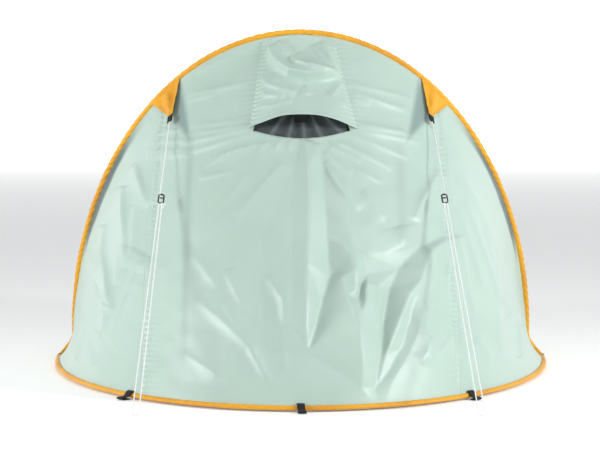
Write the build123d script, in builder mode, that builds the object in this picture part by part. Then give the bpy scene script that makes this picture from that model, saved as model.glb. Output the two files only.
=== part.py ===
from build123d import *
import os
from math import acos, atan2, cos, degrees, pi, radians, sin

# Pop up tent for two people: two closed springy hoops carry one skin of fabric. Each hoop stands up as a
# leaning arch at one end and lies down as half of the ground oval. All lengths are in millimetres.
# +Z is up, the rear end without a door faces -Y, the door end faces +Y, and the floor is at z = 0.

# ---- driving dimensions ----
WIDTH = 1450.0                 # over the ground sleeve
LENGTH = 2450.0                # over the ground sleeve
HEIGHT = 953.0                 # over the arch sleeves
ARCH_WIDTH = 1366.0            # over an arch sleeve where it meets the ground
LEAN = radians(32.0)           # of an arch, from upright towards its own end
SLEEVE_R = 10.0                # stuffed fabric tube
SLEEVE_BORE_R = 5.6
ROD_R = 4.25                   # glass fibre rod
FERRULE_R = 5.2
FERRULE_BORE_R = 4.3
FERRULE_LENGTH = 60.0
HOOP_GAP = 13.0                # from the fold line to each hoop's own planes
BEND_LENGTH = 75.0             # of each hoop given to the turn between arch and ground
CLOTH = 2.0                    # skin, as thick as its seams and small folds
NET = 1.2                      # mosquito net
SLEEVE_CLEAR = 0.6             # between a cloth edge and the sleeve it is sewn to
REAR_BULGE = 22.0              # of the rear panel, at its middle
SIDE_DRAW = 36.0               # how far the tight cloth pulls an end panel in at its sides
DRAW_FROM, DRAW_FULL = 0.38, 0.70    # shares of the way from the panel's middle to its side
DRAW_SKEW, DRAW_FLATNESS = 1.2, 0.7  # shape of the draw from arch to ground
ROOF_SAG = 18.0
GORE_GAP = 0.05                # degrees
GORE_ANGLE = 56.5              # degrees round the hoop where the end panel's two long seams run
PANEL_START = 5.5              # degrees round the hoop where the cloth begins
ROOF_START = 4.5
LAYER_GAP = 0.3                # between cloth layers that lie on each other

SHEET_Z = 1.0                  # underside of the groundsheet
SHEET_INSET = 11.0             # from the ground sleeve's centre line
SHEET_FOLD_GAP = 1.0

WINDOW_TOP_Z = 862.0           # hole under the vent hood
WINDOW_CORNER_Z = 684.0
WINDOW_LOW_Z = 661.0
WINDOW_HALF_TOP = 66.0
WINDOW_HALF_LOW = 116.0
NET_MARGIN = 9.0
HOOD_TOP_Z = 918.0
HOOD_CORNER_Z = 682.0
HOOD_HEM_RISE = 14.0
HOOD_HALF_TOP = 96.0
HOOD_HALF_HEM = 135.0
HOOD_LIFT = 45.0               # of the hem's middle over the panel
HOOD_LIFT_START, HOOD_LIFT_ROUND = 1.6, 0.8  # how late the lift comes down the hood, and how round it is across
HOOD_CLOTH = 1.5
PROP_Z = 694.0
PROP_FOOT_PROUD = 1.2
PROP_WIDTH = 32.0
PROP_THICK = 4.0
PROP_LENGTH = 42.0

DOOR_ANGLE = 64.0              # degrees round the hoop of the door's straight sides
DOOR_TOP_Z = 850.0
DOOR_BOTTOM_SHARE = 0.91
DOOR_CORNER_R = 210.0
DOOR_GAP = 0.9
CUT_DEPTH = 320.0
ZIP_INNER = 2.5
ZIP_WIDTH = 11.0
ZIP_THICK = 1.6
ZIP_ANGLE = 63.1               # degrees round the hoop of the zip's middle on the straight side
HINGE_SIDE_CUT = 500.0
SLIDER_SHARE = 0.86
SLIDER_WIDTH = 11.0
SLIDER_LENGTH = 20.0
SLIDER_HEIGHT = 5.0
SLIDER_CHAMFER = 1.0
PULL_WIDTH = 8.0
PULL_LENGTH = 38.0
PULL_THICK = 1.8
TOGGLE_ANGLE = 60.0
TOGGLE_SHARE = 0.45
TOGGLE_R = 4.0
TOGGLE_LENGTH = 36.0
LOOP_ANGLE = 57.0
LOOP_R = 12.0
LOOP_CORD_R = 1.5

GUY_HIGH_ANGLE = 60.8
GUY_LOW_ANGLE = 53.7
GUY_SLEEVE_CLEAR = 13.0
GUY_TIP_X = 352.0
GUY_TIP_Y = 604.0
GUY_TIP_Z = 722.0
GUY_PATCH_PROUD = 5.0          # of the patch's sewn edge over the skin
GUY_FOOT_X = {-1: -403.0, 1: 442.0}
GUY_FOOT_Y = 1294.0
GUY_FOOT_Z = 2.0
TAB_WIDTH = 18.0
TAB_THICK = 2.4
TAB_GAP = 2.4
TAB_LENGTH = 24.0
CORD_R = 1.5
ADJUSTER_FROM_TAB = 262.0
ADJUSTER_LENGTH = 32.0
ADJUSTER_WIDTH = 16.0
ADJUSTER_THICK = 6.0
ADJUSTER_BORE_R = 1.8
STRAND_GAP = 8.0               # between the two strands at the adjuster
PEG_TURN = 8.0                 # half the width of the line's loop where it goes round a peg
PEG_STRAIGHT = 1.0

PEG_ANGLE = 53.0
PEG_WIDTH = 25.0
PEG_INNER_R = 10.4
PEG_OUTER_R = 12.2
PEG_OVER = 98.0
PEG_UNDER = 50.0
PEG_TONGUE_FROM = 8.4
PEG_TONGUE = 30.0
WEBBING = 2.0
FLOOR_GAP = 0.3

WALL_GRID = (11, 7)            # columns and rows of points that shape each cloth face
ROOF_GRID = (21, 5)
VENT_NET_GRID = (7, 6)
HOOD_GRID = (13, 8)
FIT_ROUNDS = 6                 # to find the panel point at a given height
NET_ANGLE_INSET = 1.0          # degrees from a seam to the door net and the zip
CORNER_SHARE = 0.4             # of a small part's thickness that its rounding takes
SLIDER_CORNER_SHARE = 0.3
ADJUSTER_CORNER_SHARE = 0.45

# ---- worked out ----
GROUND_A = WIDTH / 2 - SLEEVE_R
GROUND_B = LENGTH / 2 - SLEEVE_R - HOOP_GAP
ARCH_A = ARCH_WIDTH / 2 - SLEEVE_R
ARCH_B = (HEIGHT - 2 * SLEEVE_R) / cos(LEAN)
FOLD_Z = SLEEVE_R              # the fold line lies along X at this height
REAR, FRONT = -1, 1
END_NAMES = {REAR: "rear", FRONT: "front"}
SIDE_NAMES = {-1: "left", 1: "right"}

os.makedirs("parts", exist_ok=True)


def write(part, label):
    """Label a finished piece and write it as its own STEP file."""
    part.label = label
    export_step(part, f"parts/{label}.step")


# ---- the lines that the whole tent is built on ----
def arch_point(end, angle):
    """Point on the centre line of an arch, angle in degrees from the right-hand side point."""
    turn = radians(angle)
    rise = ARCH_B * sin(turn)
    return Vector(ARCH_A * cos(turn), end * (HOOP_GAP + rise * sin(LEAN)), FOLD_Z + rise * cos(LEAN))


def ground_point(end, angle):
    """Point on the centre line of a ground half."""
    turn = radians(angle)
    return Vector(GROUND_A * cos(turn), end * (HOOP_GAP + GROUND_B * sin(turn)), FOLD_Z)


def heading(point_at, end, angle):
    """Direction of a hoop's centre line as the angle grows."""
    step = 0.01
    return (point_at(end, angle + step) - point_at(end, angle - step)).normalized()


def outward(end, angle):
    """Direction that points out of an end panel, the same all down one of its straight lines."""
    drop = arch_point(end, 90) - ground_point(end, 90)
    slope = atan2(drop.Z, abs(drop.Y))
    turn = radians(angle)
    return Vector(cos(turn), end * sin(turn) * sin(slope), sin(turn) * cos(slope))


def end_point(end, angle, share, proud=0.0):
    """Point on an end panel: share 0 is on the arch, share 1 on the ground half."""
    top, bottom = arch_point(end, angle), ground_point(end, angle)
    bulge = REAR_BULGE if end == REAR else 0.0
    out = bulge * sin(pi * share) * sin(radians(angle))
    side = min(1.0, max(0.0, (abs(90 - angle) / 90 - DRAW_FROM) / (DRAW_FULL - DRAW_FROM)))
    draw = SIDE_DRAW * side**2 * (3 - 2 * side) * sin(pi * share**DRAW_SKEW) ** DRAW_FLATNESS
    return top + (bottom - top) * share + outward(end, angle) * (out - draw + proud)


def panel_at(end, x, z, proud=0.0):
    """Point on an end panel at a given x and height, found in a few rounds."""
    share = 0.0
    for _ in range(FIT_ROUNDS):
        angle = degrees(acos(x / (ARCH_A + (GROUND_A - ARCH_A) * share)))
        top = arch_point(end, angle)
        share = (top.Z - z) / (top.Z - FOLD_Z)
    return end_point(end, angle, share, proud)


def skin_plane(end, angle, share, proud):
    """Plane on an end panel: x runs round the hoop, y up the panel and z out of it."""
    up = (arch_point(end, angle) - ground_point(end, angle)).normalized()
    across = end_point(end, angle + 1, share) - end_point(end, angle - 1, share)
    normal = across.cross(up)
    if normal.Y * end < 0:
        normal = normal * -1
    return Plane(origin=end_point(end, angle, share, proud), x_dir=up.cross(normal), z_dir=normal)


def roof_point(angle, share):
    """Point on the roof panel: share 0 is on the rear arch, share 1 on the front arch."""
    rear, front = arch_point(REAR, angle), arch_point(FRONT, angle)
    turn = radians(angle)
    sag = ROOF_SAG * sin(pi * share) * sin(turn)
    return rear + (front - rear) * share - Vector(cos(turn), 0, sin(turn)) * sag


def surface(point_at, rows, columns):
    """A smooth face through a grid of points. Each column is the list of shares down one line."""
    return Face.make_surface_from_array_of_points([[point_at(a, s) for s in columns(a)] for a in rows])


def steps(first, last, count):
    """Evenly spaced values, both ends included."""
    return [first + (last - first) * i / (count - 1) for i in range(count)]


def clear_share(chord, along):
    """Share of a chord that leaves a sleeve, which the chord may meet at a slant."""
    slant = chord.normalized().cross(along).length
    return (SLEEVE_R + SLEEVE_CLEAR) / slant / chord.length


def end_surface(end, first, last, proud=0.0):
    """An end panel's face between two angles, from sleeve to sleeve."""

    def shares(angle):
        chord = ground_point(end, angle) - arch_point(end, angle)
        top = clear_share(chord, heading(arch_point, end, angle))
        bottom = clear_share(chord, heading(ground_point, end, angle))
        return steps(top, 1 - bottom, WALL_GRID[1])

    return surface(lambda a, s: end_point(end, a, s, proud), steps(first, last, WALL_GRID[0]), shares)


def roof_surface():
    """The roof's face between the two arches."""

    def shares(angle):
        chord = arch_point(FRONT, angle) - arch_point(REAR, angle)
        inset = clear_share(chord, heading(arch_point, REAR, angle))
        return steps(inset, 1 - inset, ROOF_GRID[1])

    return surface(roof_point, steps(ROOF_START, 180 - ROOF_START, ROOF_GRID[0]), shares)


# ---- hoops: rods, ferrules and sleeves ----
def bend_angle(point_radius):
    """Angle round an oval where its straight-sided start is BEND_LENGTH from the fold line."""
    return degrees(BEND_LENGTH / point_radius)


ARCH_CUT = bend_angle(ARCH_B)
GROUND_CUT = bend_angle(GROUND_B)
ROD_JOINT = 8.0                # degrees round the ground half where the two rods of a hoop meet


def oval_line(end, first, last, standing):
    """Part of an arch (standing) or of a ground half, between two angles, in either direction."""
    up = Vector(0, end * sin(LEAN), cos(LEAN)) if standing else Vector(0, end, 0)
    size = ARCH_B if standing else GROUND_B
    width = ARCH_A if standing else GROUND_A
    plane = Plane(origin=(0, end * HOOP_GAP, FOLD_Z), x_dir=(1, 0, 0), z_dir=Vector(1, 0, 0).cross(up))
    with BuildLine(plane) as line:
        EllipticalCenterArc((0, 0), width, size, start_angle=first, arc_size=last - first)
    return line.wire()


def turn_line(end, flip):
    """The turn of a hoop from the ground up into the arch: flip is 1 on the right and -1 on the left."""
    ground_at = 90 - flip * (90 - GROUND_CUT)
    arch_at = 90 - flip * (90 - ARCH_CUT)
    low, high = ground_point(end, ground_at), arch_point(end, arch_at)
    away, up = heading(ground_point, end, ground_at) * -flip, heading(arch_point, end, arch_at) * flip
    with BuildLine() as line:
        if flip == 1:
            Spline([low, high], tangents=[away, up])
        else:
            Spline([high, low], tangents=[up * -1, away * -1])
    return line.wire()


def arch_line(end, joint):
    """The upper part of a hoop: the arch, both turns and, for a rod, the first stretch along the ground."""
    parts = [turn_line(end, 1), oval_line(end, ARCH_CUT, 180 - ARCH_CUT, True), turn_line(end, -1)]
    if joint > GROUND_CUT:
        parts.insert(0, oval_line(end, joint, GROUND_CUT, False))
        parts.append(oval_line(end, 180 - GROUND_CUT, 180 - joint, False))
    return Wire([edge for part in parts for edge in part.edges()])


def round_section(path, radius, bore=0.0):
    """A disc or a ring across the start of a line."""
    with BuildSketch(Plane(origin=path @ 0, z_dir=path % 0)) as section:
        Circle(radius)
        if bore:
            Circle(bore, mode=Mode.SUBTRACT)
    return section.sketch


for end, name in END_NAMES.items():
    with BuildPart() as arch_rod:
        path = arch_line(end, ROD_JOINT)
        sweep(round_section(path, ROD_R), path=path)
    write(arch_rod.part, f"{name}_arch_rod")

    with BuildPart() as ground_rod:
        path = oval_line(end, ROD_JOINT, 180 - ROD_JOINT, False)
        sweep(round_section(path, ROD_R), path=path)
    write(ground_rod.part, f"{name}_ground_rod")

    with BuildPart() as ferrules:
        reach = degrees(FERRULE_LENGTH / 2 / GROUND_B)
        for middle in (ROD_JOINT, 180 - ROD_JOINT):
            path = oval_line(end, middle - reach, middle + reach, False)
            sweep(round_section(path, FERRULE_R, FERRULE_BORE_R), path=path)
    write(ferrules.part, f"{name}_ferrules")

    with BuildPart() as arch_sleeve:
        path = arch_line(end, GROUND_CUT)
        sweep(round_section(path, SLEEVE_R, SLEEVE_BORE_R), path=path)
    write(arch_sleeve.part, f"{name}_arch_sleeve")

    with BuildPart() as ground_sleeve:
        path = oval_line(end, GROUND_CUT, 180 - GROUND_CUT, False)
        sweep(round_section(path, SLEEVE_R, SLEEVE_BORE_R), path=path)
    write(ground_sleeve.part, f"{name}_ground_sleeve")


# ---- end panels, roof and groundsheet ----
END_PLANES = {
    end: Plane(origin=end_point(end, 90, 0.5), x_dir=(-end, 0, 0), z_dir=outward(end, 90)) for end in END_NAMES
}


def slope_y(end, z):
    """Height on the sloping plane of an end, from a height above the floor."""
    plane = END_PLANES[end]
    return (z - plane.origin.Z) / plane.y_dir.Z


def vent_window():
    """Outline of the hole under the vent hood, on the rear end's plane."""
    top, corner, low = (slope_y(REAR, z) for z in (WINDOW_TOP_Z, WINDOW_CORNER_Z, WINDOW_LOW_Z))
    with BuildSketch() as outline:
        with BuildLine():
            Polyline(
                (-WINDOW_HALF_LOW, corner), (-WINDOW_HALF_TOP, top), (WINDOW_HALF_TOP, top), (WINDOW_HALF_LOW, corner)
            )
            ThreePointArc((WINDOW_HALF_LOW, corner), (0, low), (-WINDOW_HALF_LOW, corner))
        make_face()
    return outline.sketch


def doorway(grow=0.0):
    """Outline of the door, on the front end's plane: straight sides and two round top corners."""
    plane = END_PLANES[FRONT]
    top = slope_y(FRONT, DOOR_TOP_Z)
    corners = []
    for angle in (DOOR_ANGLE, 180 - DOOR_ANGLE):
        high, low = (plane.to_local_coords(end_point(FRONT, angle, s)) for s in (0, DOOR_BOTTOM_SHARE))
        reach = (top - low.Y) / (high.Y - low.Y)
        corners.append([(low.X, low.Y), (low.X + (high.X - low.X) * reach, top)])
    with BuildSketch() as outline:
        with BuildLine():
            Polyline(corners[0][0], corners[0][1], corners[1][1], corners[1][0], close=True)
        make_face()
        fillet(outline.vertices().group_by(Axis.Y)[-1], DOOR_CORNER_R)
        if grow:
            offset(amount=grow, kind=Kind.INTERSECTION)
    return outline.sketch


def stack_through(end, outline):
    """An outline on an end's plane, drawn out both ways far enough to pass through the skin."""
    with BuildPart() as block:
        with BuildSketch(END_PLANES[end]):
            add(outline)
        extrude(amount=CUT_DEPTH, both=True)
    return block.part


for end, name in END_NAMES.items():
    gores = {"right": (PANEL_START, GORE_ANGLE), "left": (180 - GORE_ANGLE, 180 - PANEL_START)}
    for side, (first, last) in gores.items():
        with BuildPart() as gore:
            thicken(end_surface(end, first, last), amount=CLOTH / 2, both=True)
        write(gore.part, f"{name}_panel_{side}")

with BuildPart() as rear_centre:
    thicken(end_surface(REAR, GORE_ANGLE + GORE_GAP, 180 - GORE_ANGLE - GORE_GAP), amount=CLOTH / 2, both=True)
    add(stack_through(REAR, vent_window()), mode=Mode.SUBTRACT)
write(rear_centre.part, "rear_panel_centre")

with BuildPart() as front_centre:
    thicken(end_surface(FRONT, GORE_ANGLE + GORE_GAP, 180 - GORE_ANGLE - GORE_GAP), amount=CLOTH / 2, both=True)
    add(stack_through(FRONT, doorway()), mode=Mode.SUBTRACT)
write(front_centre.part, "front_panel_centre")

with BuildPart() as roof:
    thicken(roof_surface(), amount=CLOTH / 2, both=True)
write(roof.part, "roof_panel")

for end, name in END_NAMES.items():
    with BuildPart() as groundsheet:
        with BuildSketch(Plane.XY.offset(SHEET_Z)):
            with Locations((0, end * HOOP_GAP)):
                Ellipse(GROUND_A - SHEET_INSET, GROUND_B - SHEET_INSET)
            with Locations((0, end * (HOOP_GAP + GROUND_B / 2))):
                Rectangle(WIDTH, GROUND_B, mode=Mode.INTERSECT)
            with Locations((0, end * (HOOP_GAP + SHEET_FOLD_GAP) / 2)):
                Rectangle(2 * (GROUND_A - SHEET_INSET), HOOP_GAP - SHEET_FOLD_GAP)
        extrude(amount=CLOTH)
    write(groundsheet.part, f"groundsheet_{name}")


# ---- vent in the rear end: net, hood and prop ----
def vent_net_point(across, down):
    """Point on the net, which lies behind the window and is a little larger than it."""
    half = WINDOW_HALF_TOP + (WINDOW_HALF_LOW - WINDOW_HALF_TOP) * down + NET_MARGIN
    z = WINDOW_TOP_Z + NET_MARGIN + (WINDOW_LOW_Z - WINDOW_TOP_Z - 2 * NET_MARGIN) * down
    return panel_at(REAR, across * half, z, -(CLOTH / 2 + LAYER_GAP + NET / 2))


def hood_point(across, down):
    """Point on the vent hood: down is 0 at its sewn top and 1 at its lifted hem."""
    half = HOOD_HALF_TOP + (HOOD_HALF_HEM - HOOD_HALF_TOP) * down
    hem_z = HOOD_CORNER_Z + HOOD_HEM_RISE * (1 - across**2)
    z = HOOD_TOP_Z + (hem_z - HOOD_TOP_Z) * down
    lift = HOOD_LIFT * down**HOOD_LIFT_START * (1 - across**2) ** HOOD_LIFT_ROUND
    return panel_at(REAR, across * half, z, CLOTH / 2 + LAYER_GAP + HOOD_CLOTH / 2 + lift)


def grid_face(point_at, columns, rows):
    """A smooth face over a grid that runs from -1 to 1 across and from 0 to 1 down."""
    return Face.make_surface_from_array_of_points(
        [[point_at(across, down) for down in steps(0, 1, rows)] for across in steps(-1, 1, columns)]
    )


with BuildPart() as vent_net:
    thicken(grid_face(vent_net_point, *VENT_NET_GRID), amount=NET / 2, both=True)
write(vent_net.part, "vent_net")

with BuildPart() as vent_hood:
    thicken(grid_face(hood_point, *HOOD_GRID), amount=HOOD_CLOTH / 2, both=True)
write(vent_hood.part, "vent_hood")

prop_foot = panel_at(REAR, 0, PROP_Z, PROP_FOOT_PROUD)
with BuildPart() as vent_prop:
    with BuildSketch(Plane(origin=prop_foot, x_dir=(1, 0, 0), z_dir=outward(REAR, 90))):
        RectangleRounded(PROP_WIDTH, PROP_THICK, PROP_THICK * CORNER_SHARE)
    extrude(amount=PROP_LENGTH)
write(vent_prop.part, "vent_prop")


# ---- door in the front end: panel, net, zip, slider and pull ----
NET_ANGLE = GORE_ANGLE + NET_ANGLE_INSET

with BuildPart() as door_panel:
    thicken(end_surface(FRONT, GORE_ANGLE, 180 - GORE_ANGLE), amount=CLOTH / 2, both=True)
    add(stack_through(FRONT, doorway(-DOOR_GAP)), mode=Mode.INTERSECT)
write(door_panel.part, "door_panel")

with BuildPart() as door_net:
    inside = -(CLOTH / 2 + LAYER_GAP + NET / 2)
    thicken(end_surface(FRONT, NET_ANGLE, 180 - NET_ANGLE, inside), amount=NET / 2, both=True)
    add(stack_through(FRONT, doorway(NET_MARGIN)), mode=Mode.INTERSECT)
write(door_net.part, "door_net")

with BuildSketch() as zip_band:
    add(doorway(ZIP_INNER + ZIP_WIDTH))
    add(doorway(ZIP_INNER), mode=Mode.SUBTRACT)
    with Locations((-HINGE_SIDE_CUT, 0)):
        Rectangle(HINGE_SIDE_CUT, 2 * HINGE_SIDE_CUT, mode=Mode.SUBTRACT)
ZIP_PROUD = CLOTH / 2 + LAYER_GAP + ZIP_THICK / 2
with BuildPart() as door_zip:
    thicken(end_surface(FRONT, NET_ANGLE, 180 - NET_ANGLE, ZIP_PROUD), amount=ZIP_THICK / 2, both=True)
    add(stack_through(FRONT, zip_band.sketch), mode=Mode.INTERSECT)
write(door_zip.part, "door_zip")

slider_plane = skin_plane(FRONT, 180 - ZIP_ANGLE, SLIDER_SHARE, ZIP_PROUD + ZIP_THICK)
with BuildPart() as zip_slider:
    with BuildSketch(slider_plane):
        RectangleRounded(SLIDER_WIDTH, SLIDER_LENGTH, SLIDER_WIDTH * SLIDER_CORNER_SHARE)
    extrude(amount=SLIDER_HEIGHT)
    chamfer(zip_slider.faces().sort_by(Axis(slider_plane.origin, slider_plane.z_dir))[-1].edges(), SLIDER_CHAMFER)
write(zip_slider.part, "zip_slider")

with BuildPart() as zip_pull:
    with BuildSketch(slider_plane.offset(SLIDER_HEIGHT / 2)):
        with Locations((0, -(SLIDER_LENGTH + PULL_LENGTH) / 2)):
            RectangleRounded(PULL_WIDTH, PULL_LENGTH, PULL_WIDTH * CORNER_SHARE)
    extrude(amount=PULL_THICK)
write(zip_pull.part, "zip_pull")

with BuildPart() as door_toggle:
    toggle_plane = skin_plane(FRONT, TOGGLE_ANGLE, TOGGLE_SHARE, CLOTH / 2 + TOGGLE_R + LAYER_GAP)
    with BuildSketch(Plane(origin=toggle_plane.origin - toggle_plane.x_dir * TOGGLE_LENGTH / 2,
                           x_dir=toggle_plane.y_dir, z_dir=toggle_plane.x_dir)):
        Circle(TOGGLE_R)
    extrude(amount=TOGGLE_LENGTH)
    fillet(door_toggle.edges(), TOGGLE_R * CORNER_SHARE)
write(door_toggle.part, "door_toggle")

with BuildPart() as toggle_loop:
    loop_plane = skin_plane(FRONT, LOOP_ANGLE, TOGGLE_SHARE, CLOTH / 2 + 2 * LOOP_CORD_R + LAYER_GAP)
    with Locations(loop_plane):
        Torus(LOOP_R, LOOP_CORD_R)
write(toggle_loop.part, "toggle_loop")


# ---- guy patches, webbing tabs, guylines and line adjusters ----
def guy_frame(end, side):
    """The tip of a guy patch, the ground end of its line, and the direction between them."""
    tip = Vector(side * GUY_TIP_X, end * GUY_TIP_Y, GUY_TIP_Z)
    foot = Vector(GUY_FOOT_X[side], end * GUY_FOOT_Y, GUY_FOOT_Z)
    return tip, foot, (foot - tip).normalized()


for end, name in END_NAMES.items():
    for side, side_name in SIDE_NAMES.items():
        tip, foot, pull = guy_frame(end, side)
        angles = [90 - side * (90 - a) for a in (GUY_HIGH_ANGLE, GUY_LOW_ANGLE)]
        high, low = (arch_point(end, a) + outward(end, a) * GUY_PATCH_PROUD for a in angles)
        across = (high - low).normalized()
        corners = [p + (tip - p).normalized() * GUY_SLEEVE_CLEAR for p in (high, low)]
        corners += [tip - across * TAB_WIDTH / 2, tip + across * TAB_WIDTH / 2]
        plane = Plane(origin=tip, x_dir=across, z_dir=across.cross(low - tip))
        with BuildPart() as patch:
            with BuildSketch(plane):
                with BuildLine():
                    Polyline(*[(plane.to_local_coords(c).X, plane.to_local_coords(c).Y) for c in corners], close=True)
                make_face()
            extrude(amount=CLOTH / 2, both=True)
        write(patch.part, f"{name}_guy_patch_{side_name}")

        tab_plane = Plane(origin=tip + pull * TAB_GAP, x_dir=across - pull * across.dot(pull), z_dir=pull)
        with BuildPart() as tab:
            with BuildSketch(tab_plane):
                Rectangle(TAB_WIDTH, TAB_THICK)
            extrude(amount=TAB_LENGTH)
        write(tab.part, f"{name}_guy_tab_{side_name}")

for side, side_name in SIDE_NAMES.items():
    tip, foot, pull = guy_frame(REAR, side)
    start = tip + pull * (TAB_GAP + TAB_LENGTH)
    beside = Vector(-side, 0, 0)
    middle, back = foot + beside * PEG_TURN, foot + beside * 2 * PEG_TURN
    adjuster_at = start + pull * ADJUSTER_FROM_TAB
    knot = adjuster_at + pull * ADJUSTER_LENGTH + beside * STRAND_GAP
    for cord_name, route in (("guyline", (start, foot, middle)), ("guyline_return", (middle, back, knot))):
        with BuildLine() as run:
            FilletPolyline(*route, radius=PEG_TURN - PEG_STRAIGHT)
        with BuildPart() as cord:
            sweep(round_section(run.wire(), CORD_R), path=run.wire())
        write(cord.part, f"{cord_name}_{side_name}")
        print(cord_name, side_name, "length", round(run.wire().length, 1), "radius", PEG_TURN - PEG_STRAIGHT)

    with BuildPart() as adjuster:
        with BuildSketch(Plane(origin=adjuster_at, x_dir=beside - pull * beside.dot(pull), z_dir=pull)):
            with Locations((STRAND_GAP / 2, 0)):
                RectangleRounded(ADJUSTER_WIDTH, ADJUSTER_THICK, ADJUSTER_THICK * ADJUSTER_CORNER_SHARE)
            with Locations((0, 0), (STRAND_GAP, 0)):
                Circle(ADJUSTER_BORE_R, mode=Mode.SUBTRACT)
        extrude(amount=ADJUSTER_LENGTH)
    write(adjuster.part, f"line_adjuster_{side_name}")
    print("adjuster", side_name, "slides along", pull, "from", adjuster_at)


# ---- peg loops: webbing over the ground sleeve with a tongue on the floor ----
for end, name in END_NAMES.items():
    for place, angle in {"right": PEG_ANGLE, "centre": 90, "left": 180 - PEG_ANGLE}.items():
        at, along = ground_point(end, angle), heading(ground_point, end, angle)
        away = along.cross(Vector(0, 0, 1))
        away = away * (1 if away.Y * end > 0 else -1)
        plane = Plane(origin=at, x_dir=away, z_dir=away.cross(Vector(0, 0, 1)))
        with BuildPart() as peg_loop:
            with BuildSketch(plane):
                with BuildLine():
                    outer = CenterArc((0, 0), PEG_OUTER_R, -PEG_UNDER, PEG_OVER + PEG_UNDER)
                    inner = CenterArc((0, 0), PEG_INNER_R, -PEG_UNDER, PEG_OVER + PEG_UNDER)
                    Line(outer @ 0, inner @ 0)
                    Line(outer @ 1, inner @ 1)
                make_face()
                with Locations((PEG_TONGUE_FROM, FLOOR_GAP - SLEEVE_R)):
                    Rectangle(PEG_TONGUE, WEBBING, align=(Align.MIN, Align.MIN))
            extrude(amount=PEG_WIDTH / 2, both=True)
        write(peg_loop.part, f"{name}_peg_loop_{place}")
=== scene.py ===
import math

import bpy
import numpy as np
from mathutils import Matrix, Vector, noise
from mathutils.geometry import delaunay_2d_cdt


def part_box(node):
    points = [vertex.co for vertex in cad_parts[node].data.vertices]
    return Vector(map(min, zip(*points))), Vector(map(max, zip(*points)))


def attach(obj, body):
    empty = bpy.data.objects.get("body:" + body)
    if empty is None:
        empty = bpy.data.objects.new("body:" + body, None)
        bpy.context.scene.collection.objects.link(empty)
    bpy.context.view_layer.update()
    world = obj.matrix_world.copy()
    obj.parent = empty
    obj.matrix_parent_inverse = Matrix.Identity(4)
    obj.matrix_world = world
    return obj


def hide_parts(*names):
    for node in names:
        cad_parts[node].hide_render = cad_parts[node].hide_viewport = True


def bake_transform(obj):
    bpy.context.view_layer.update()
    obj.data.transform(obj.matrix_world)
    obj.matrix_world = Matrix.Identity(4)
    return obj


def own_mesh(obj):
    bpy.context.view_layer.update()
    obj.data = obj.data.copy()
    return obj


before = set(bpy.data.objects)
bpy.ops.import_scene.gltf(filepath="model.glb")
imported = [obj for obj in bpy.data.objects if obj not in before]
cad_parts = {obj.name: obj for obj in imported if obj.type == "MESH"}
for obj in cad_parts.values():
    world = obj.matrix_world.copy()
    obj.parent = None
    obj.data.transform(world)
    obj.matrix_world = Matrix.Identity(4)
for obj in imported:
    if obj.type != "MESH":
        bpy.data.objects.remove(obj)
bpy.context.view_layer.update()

# ---------------------------------------------------------------------------------------------------
# Camera, floor and light
# A long lens looks at the closed end from seat height. Soft lamps stand low at both sides and rake the
# end wall, and a glowing white backdrop stands far behind.
# ---------------------------------------------------------------------------------------------------
scene = bpy.context.scene
camera = bpy.data.objects.new("camera", bpy.data.cameras.new("camera"))
scene.collection.objects.link(camera)
camera.data.lens = 124.3
camera.data.sensor_width = 36.0
camera.location = (0.0, -6.21, 0.70)
camera.rotation_euler = (math.radians(90 - 2.82), 0.0, 0.0003)
scene.camera = camera
scene.view_settings.view_transform = "Standard"

world = bpy.data.worlds.new("studio")
scene.world = world
world.use_nodes = True
world.node_tree.nodes["Background"].inputs["Color"].default_value = (0.97, 0.985, 1.0, 1)
world.node_tree.nodes["Background"].inputs["Strength"].default_value = 0.40

bpy.ops.object.select_all(action="DESELECT")
bpy.ops.mesh.primitive_plane_add(size=60, location=(0, 0, -0.0005))
floor = bpy.context.object
floor.name = "floor"
pale = bpy.data.materials.new("pale_floor")
pale.use_nodes = True
pale.node_tree.nodes["Principled BSDF"].inputs["Base Color"].default_value = (0.97, 0.97, 0.97, 1)
pale.node_tree.nodes["Principled BSDF"].inputs["Roughness"].default_value = 0.9
pale.node_tree.nodes["Principled BSDF"].inputs["Emission Color"].default_value = (1, 1, 1, 1)
pale.node_tree.nodes["Principled BSDF"].inputs["Emission Strength"].default_value = 0.15
floor.data.materials.append(pale)
bpy.ops.object.select_all(action="DESELECT")
bpy.ops.mesh.primitive_plane_add(size=1, location=(0, 26, 10.4), rotation=(math.pi / 2, 0, 0))
bpy.ops.transform.resize(value=(62, 1, 20.8))
backdrop = bpy.context.object
backdrop.name = "backdrop"
glow = bpy.data.materials.new("white_backdrop")
glow.use_nodes = True
glow.node_tree.nodes["Principled BSDF"].inputs["Base Color"].default_value = (1, 1, 1, 1)
glow.node_tree.nodes["Principled BSDF"].inputs["Emission Color"].default_value = (1, 1, 1, 1)
glow.node_tree.nodes["Principled BSDF"].inputs["Emission Strength"].default_value = 0.8
backdrop.data.materials.append(glow)


def soft_lamp(name, place, aim, size, power):
    """A square softbox that faces a point."""
    lamp = bpy.data.objects.new(name, bpy.data.lights.new(name, "AREA"))
    scene.collection.objects.link(lamp)
    lamp.data.shape = "SQUARE"
    lamp.data.size = size
    lamp.data.energy = power
    lamp.location = place
    lamp.rotation_euler = (Vector(aim) - Vector(place)).to_track_quat("-Z", "Y").to_euler()


soft_lamp("left_softbox", (-4.2, -2.0, 1.3), (0, -0.7, 0.45), 1.3, 100)
soft_lamp("right_softbox", (4.0, -2.7, 1.9), (0, -0.7, 0.45), 0.9, 122)
soft_lamp("top_softbox", (0.4, -2.4, 4.3), (0, -0.6, 0.5), 1.0, 34)

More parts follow.
